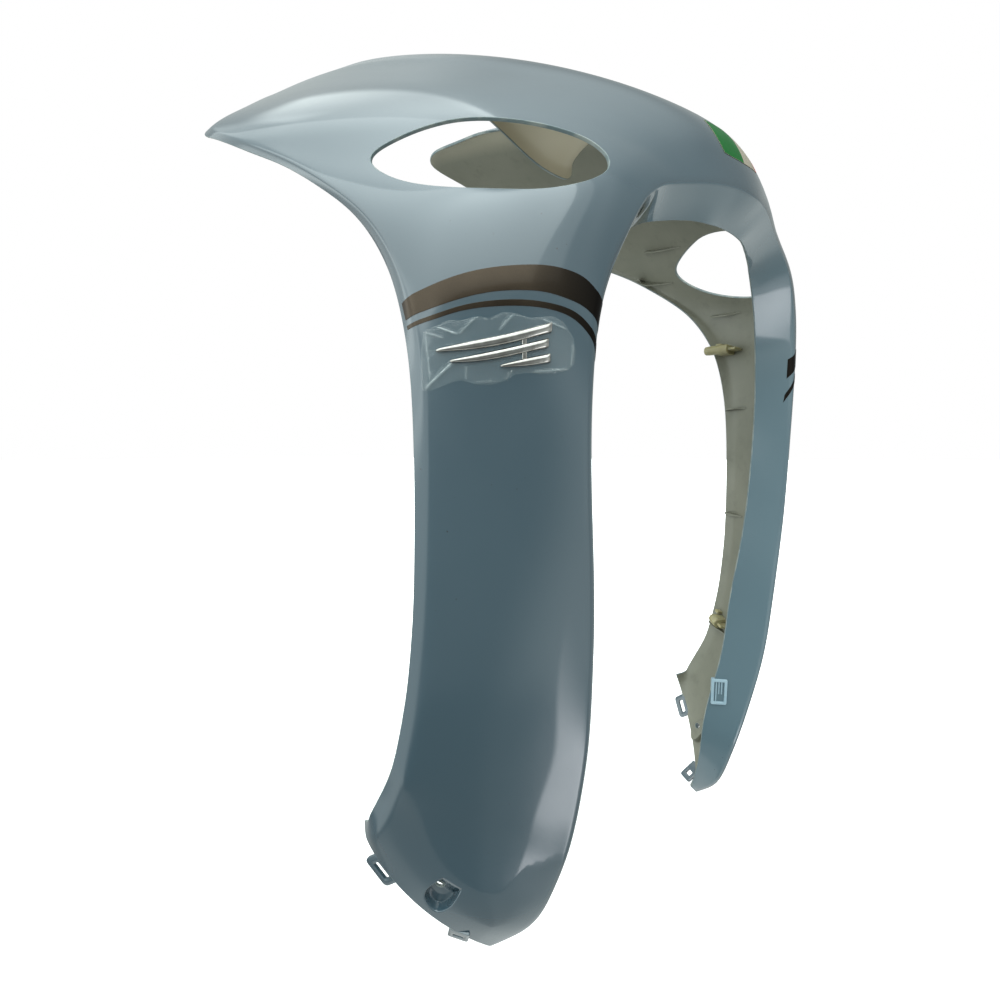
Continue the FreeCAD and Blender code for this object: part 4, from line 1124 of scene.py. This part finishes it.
def film_material():
    m, nt, b = material("clear_film")
    co = obj_coords(nt)
    nt.links.new(mix(nt, noise(nt, co, 70.0, 3.0), (0.46, 0.54, 0.55), (0.58, 0.64, 0.63)), b.inputs["Base Color"])
    nt.links.new(ramp(nt, noise(nt, co, 150.0, 4.0), [(0.3, 0.06), (0.75, 0.22)]), b.inputs["Roughness"])
    fold = nt.nodes.new("ShaderNodeAttribute")
    fold.attribute_name = "place"
    sep = nt.nodes.new("ShaderNodeSeparateXYZ")
    nt.links.new(fold.outputs["Vector"], sep.inputs[0])
    # Painted sheen: the pale film shows more strongly along its folds and edge, where the crumpled film catches light.
    nt.links.new(ramp(nt, sep.outputs[0], [(0.0, 0.05), (0.25, 0.08), (0.8, 0.32)]), b.inputs["Alpha"])
    b.inputs["Specular IOR Level"].default_value = 0.9
    b.inputs["Coat Weight"].default_value = 1.0
    b.inputs["Coat Roughness"].default_value = 0.04
    return m


line = even_loop(np.array(FILM_LINE) * (FILM_WX, 1.0), 0.9)
gx, gy = np.meshgrid(np.arange(line[:, 0].min(), line[:, 0].max(), 0.75), np.arange(line[:, 1].min(), line[:, 1].max(), 0.75))
q = np.stack([gx.ravel(), gy.ravel()], 1)
q = q[inside(line, q) & (near_poly(line, q) > 0.55)]
allq = np.concatenate([line, q])
res = delaunay_2d_cdt([Vector(a) for a in allq], [(k, (k + 1) % len(line)) for k in range(len(line))], [], 0, 1e-5)
flat = np.array([tuple(a) for a in res[0]])
cen = np.array([np.mean([flat[v] for v in f], axis=0) for f in res[2]])
ok = inside(line, cen)
fs = []
for f, k in zip(res[2], ok):
    if k:
        a = flat[list(f)]
        fs.append(tuple(f) if np.cross(a[1] - a[0], a[2] - a[0]) > 0 else tuple(f[::-1]))
rng = np.random.default_rng(11)
lift = np.zeros(len(flat))
for k in range(5):
    ang = rng.uniform(0, math.pi)
    lam = rng.uniform(7.0, 13.0)
    ph = rng.uniform(0, 1)
    s = (flat[:, 0] * math.cos(ang) + flat[:, 1] * math.sin(ang)) / lam + ph
    lift += 0.16 * np.abs(2.0 * (s - np.floor(s + 0.5)))
folds = crease(flat, (0.081, 364.2), (0.216, 380.3), 0.8, 1.5)
for a, b, h, wd in (((0.259, 368.8), (0.266, 377.8), 0.5, 1.0), ((0.278, 366.8), (0.399, 367.8), 0.4, 0.9), ((0.408, 368.0), (0.447, 373.8), 0.5, 1.0),
                    ((0.514, 372.4), (0.668, 373.8), 0.7, 1.0), ((0.673, 374.8), (0.678, 389.8), 0.6, 1.0), ((0.110, 367.8), (0.127, 398.8), 0.6, 1.0),
                    ((0.177, 402.6), (0.254, 396.8), 0.7, 1.3), ((0.254, 396.8), (0.322, 406.2), 0.6, 1.2), ((0.399, 397.3), (0.456, 406.8), 0.6, 1.2),
                    ((0.553, 403.6), (0.649, 397.3), 0.6, 1.1), ((0.124, 399.8), (0.196, 395.3), 0.5, 1.1)):
    folds = np.maximum(folds, crease(flat, a, b, h, wd))
edge_d = near_poly(line, flat)
folds = np.maximum(folds, 0.12 * np.clip(1.0 - edge_d / 0.9, 0, 1))
height = 0.14 + (lift * 0.55 + folds) * smooth(edge_d, -0.1, 1.6)
Pf, Nf = surf_n(flat[:, 0] / FILM_WX, flat[:, 1])
top = Pf + Nf * (height + 0.15)[:, None]
film = Build()
shade = mesh_normals(top, fs, Nf, np.ones(len(top), bool))
thick_sheet(film, top, Nf, fs, 0.12, (0, 0, 0), 0.05, shade)
# Fold heights and a fixed share for the edge, which the film's material turns into painted sheen.
mark = np.zeros((film.count, 3))
mark[:len(top), 0] = mark[len(top):2 * len(top), 0] = folds
mark[2 * len(top):, 0] = 0.12
ob = film.make("badge_film", [film_material()], mark)
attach(ob, "root")
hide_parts("emblem_film_right")


# ---------------------------------------------------------------- stage, light and camera
sc = bpy.context.scene
sc.view_settings.view_transform = "Standard"
sc.view_settings.look = "None"
sc.view_settings.exposure = 0.0


def area(name, at, look, size, energy, colour=(1, 1, 1), shape="RECTANGLE"):
    l = bpy.data.lights.new(name, "AREA")
    l.shape = shape
    l.size, l.size_y = size
    l.energy = energy
    l.color = colour
    o = bpy.data.objects.new(name, l)
    sc.collection.objects.link(o)
    o.location = at
    o.rotation_euler = (Vector(look) - Vector(at)).to_track_quat("-Z", "Y").to_euler()
    return o


floor_me = bpy.data.meshes.new("floor")
floor_me.from_pydata([(-30, -30, 0), (30, -30, 0), (30, 30, 0), (-30, 30, 0)], [], [(0, 1, 2, 3)])
floor = bpy.data.objects.new("floor", floor_me)
sc.collection.objects.link(floor)
floor.location = (0, 0, -0.0015)
fm, fnt, fb = material("pale_floor")
fco = obj_coords(fnt)
fnt.links.new(mix(fnt, noise(fnt, fco, 3.0), (0.80, 0.80, 0.80), (0.82, 0.82, 0.82)), fb.inputs["Base Color"])
fb.inputs["Roughness"].default_value = 0.9
fb.inputs["Emission Color"].default_value = (1, 1, 1, 1)
far = fnt.nodes.new("ShaderNodeVectorMath")
far.operation = "LENGTH"
fnt.links.new(fco, far.inputs[0])
fnt.links.new(ramp(fnt, far.outputs["Value"], [(0.25, 0.62), (0.75, 1.0)]), fb.inputs["Emission Strength"])
floor_me.materials.append(fm)
floor.visible_diffuse = False
floor.visible_glossy = False

# Studio surround: the camera sees plain white; the object is lit by soft panels around it.
world = bpy.data.worlds.new("studio")
sc.world = world
world.use_nodes = True
wn = world.node_tree
wn.nodes.clear()
wo = wn.nodes.new("ShaderNodeOutputWorld")
lp = wn.nodes.new("ShaderNodeLightPath")
tcw = wn.nodes.new("ShaderNodeTexCoord")
nrm = wn.nodes.new("ShaderNodeVectorMath")
nrm.operation = "NORMALIZE"
wn.links.new(tcw.outputs["Generated"], nrm.inputs[0])
sxyz = wn.nodes.new("ShaderNodeSeparateXYZ")
wn.links.new(nrm.outputs[0], sxyz.inputs[0])
DEG = 180.0 / math.pi
EL = math_node(wn, "MULTIPLY", math_node(wn, "ARCSINE", sxyz.outputs[2]), DEG)
AZ = math_node(wn, "MULTIPLY", math_node(wn, "ARCTAN2", sxyz.outputs[0], math_node(wn, "MULTIPLY", sxyz.outputs[1], -1.0)), DEG)


def step(x, a, b):
    """Soft step of a direction angle from 0 at a to 1 at b."""
    n = wn.nodes.new("ShaderNodeMapRange")
    n.interpolation_type = "SMOOTHSTEP"
    n.clamp = True
    wn.links.new(x, n.inputs[0])
    n.inputs[1].default_value, n.inputs[2].default_value = min(a, b), max(a, b)
    n.inputs[3].default_value, n.inputs[4].default_value = (0.0, 1.0) if a < b else (1.0, 0.0)
    return n.outputs[0]


def line_of(x, k, c):
    return math_node(wn, "MULTIPLY_ADD", x, k, c)


def times(*fs):
    out = fs[0]
    for f in fs[1:]:
        out = math_node(wn, "MULTIPLY", out, f)
    return out


def plus(a, b):
    return math_node(wn, "ADD", a, b)


def less(a, b):
    return math_node(wn, "SUBTRACT", a, b)


def square(x):
    return math_node(wn, "MULTIPLY", x, x)


# side panel: from just above the horizon up, to the left of a slanting edge
low_edge = math_node(wn, "MULTIPLY_ADD", square(line_of(AZ, 1 / 46.0, 86 / 46.0)), 3.0, 3.8)
side_right = less(AZ, line_of(EL, 0.83, -42.6))
over = less(EL, low_edge)
side = times(step(over, -0.6, 0.6), step(side_right, 1.0, -1.0), step(AZ, -144.0, -140.5), step(EL, 80.0, 72.0))
half_shade = times(step(over, -0.6, 0.6), step(side_right, -1.0, 1.0), step(side_right, 17.0, 13.0))
fill = times(step(EL, 2.0, 14.0), step(side_right, -1.0, 1.0), step(side_right, 45.0, 25.0))
# panel behind and above
behind = plus(step(plus(AZ, line_of(EL, 0.38, -162.7)), -2.0, 2.0), step(AZ, -140.5, -144.0))
rear_edge = math_node(wn, "MINIMUM", line_of(AZ, 0.64, -57.4), line_of(step(AZ, 0.0, -1.0), -57.0, 55.5))
rear_edge = math_node(wn, "MAXIMUM", rear_edge, line_of(step(AZ, 0.0, -1.0), 95.5, -40.0))
rear = times(behind, step(less(EL, rear_edge), -2.0, 2.0), step(EL, 82.0, 76.0))
rear_high = times(behind, step(EL, 54.0, 74.0), step(EL, 82.0, 76.0))
rear_low = times(step(AZ, -140.5, -144.0), step(EL, -14.0, 4.0))
rear_mid = times(plus(step(AZ, -158.0, -168.0), step(AZ, 160.0, 170.0)), step(EL, 36.0, 46.0), step(EL, 58.0, 54.0))
rear_side = times(step(AZ, -164.0, -150.0), step(AZ, -112.0, -124.0), step(EL, -32.0, -24.0), step(EL, 12.0, 4.0))
# soft light low on the left and low in front
left_low = times(step(AZ, -92.0, -100.0), step(AZ, -130.0, -118.0), step(EL, -52.0, -44.0), step(EL, 8.0, 2.0))
front_low = times(step(AZ, -44.0, -24.0), step(AZ, 125.0, 110.0), step(EL, 4.0, -4.0), step(EL, -36.0, -26.0))
shade_low = times(step(AZ, -95.0, -85.0), step(AZ, -36.0, -44.0), step(EL, -22.0, -34.0))
# sky to the right
right = times(step(AZ, -8.0, 24.0), step(AZ, 146.0, 138.0))
sky = times(right, step(EL, 50.0, 82.0))
right_low = times(step(AZ, 25.0, 70.0), step(AZ, 140.0, 124.0), step(EL, -2.0, 6.0), step(EL, 56.0, 44.0))
# low panel in front, seen in the legs
low_top = plus(math_node(wn, "MULTIPLY", step(AZ, -28.0, -12.0), -7.0), -29.0)
low_left = less(AZ, line_of(EL, -0.05, -25.4))
low_bottom = less(EL, plus(line_of(AZ, -0.13, -53.6), math_node(wn, "MULTIPLY", step(AZ, -3.0, 4.0), -1.0)))
low_mask = times(step(less(EL, low_top), 7.0, -8.0), step(low_bottom, -0.8, 0.8), step(low_left, -0.9, 0.9))
low = times(low_mask, step(AZ, 4.0, 0.0))
low_right = times(low_mask, step(AZ, 0.0, 4.0), step(AZ, 22.0, 8.0))
# light floor below
ground = step(EL, -53.0, -55.5)
ground2 = times(step(EL, -57.0, -66.0), plus(step(AZ, -70.0, -95.0), step(AZ, -25.0, 5.0)))

L = math_node(wn, "MULTIPLY_ADD", step(EL, -6.0, 10.0), 0.10, 0.42)
L = plus(L, times(side, line_of(EL, 0.036, 2.1), line_of(step(AZ, -80.0, -25.0), -0.13, 1.0), line_of(step(AZ, -98.0, -130.0), -0.26, 1.0)))
L = plus(L, math_node(wn, "MULTIPLY", half_shade, 0.75))
L = plus(L, math_node(wn, "MULTIPLY", fill, 0.45))
L = plus(L, math_node(wn, "MULTIPLY", rear, 0.85))
L = plus(L, math_node(wn, "MULTIPLY", rear_high, 1.15))
L = plus(L, math_node(wn, "MULTIPLY", rear_low, 0.66))
L = plus(L, math_node(wn, "MULTIPLY", rear_mid, 0.5))
L = plus(L, math_node(wn, "MULTIPLY", rear_side, 1.9))
L = plus(L, math_node(wn, "MULTIPLY", sky, 0.7))
L = plus(L, math_node(wn, "MULTIPLY", right, 0.15))
L = plus(L, math_node(wn, "MULTIPLY", right_low, -0.28))
L = plus(L, math_node(wn, "MULTIPLY", left_low, 0.9))
L = plus(L, times(front_low, line_of(step(AZ, -6.0, 14.0), -0.45, 0.72)))
L = plus(L, math_node(wn, "MULTIPLY", shade_low, -0.16))
L = plus(L, math_node(wn, "MULTIPLY", ground, 0.27))
L = plus(L, math_node(wn, "MULTIPLY", ground2, 0.30))
LOW = plus(math_node(wn, "MULTIPLY", low, 3.8), math_node(wn, "MULTIPLY", low_right, 0.8))
b1 = wn.nodes.new("ShaderNodeBackground")
b2 = wn.nodes.new("ShaderNodeBackground")
mx = wn.nodes.new("ShaderNodeMixShader")
b1.inputs[0].default_value = (0.895, 0.985, 0.98, 1)
wn.links.new(L, b1.inputs[1])
b3 = wn.nodes.new("ShaderNodeBackground")
b3.inputs[0].default_value = (0.95, 0.97, 1.0, 1)
wn.links.new(LOW, b3.inputs[1])
both = wn.nodes.new("ShaderNodeAddShader")
wn.links.new(b1.outputs[0], both.inputs[0])
wn.links.new(b3.outputs[0], both.inputs[1])
b2.inputs[0].default_value = (1, 1, 1, 1)
b2.inputs[1].default_value = 1.0
wn.links.new(lp.outputs["Is Camera Ray"], mx.inputs[0])
wn.links.new(both.outputs[0], mx.inputs[1])
wn.links.new(b2.outputs[0], mx.inputs[2])
wn.links.new(mx.outputs[0], wo.inputs[0])

cam = bpy.data.cameras.new("camera")
cam.sensor_width = 36.0
cam.lens = 29.88
cam.clip_start = 0.01
co = bpy.data.objects.new("camera", cam)
sc.collection.objects.link(co)
co.matrix_world = Matrix(((0.61532394, 0.04598338, -0.78693200, -0.54311541),
                          (-0.78827435, 0.03589445, -0.61427611, -0.40007727),
                          (0.0, 0.99829711, 0.05833423, 0.30898174),
                          (0.0, 0.0, 0.0, 1.0)))
sc.camera = co
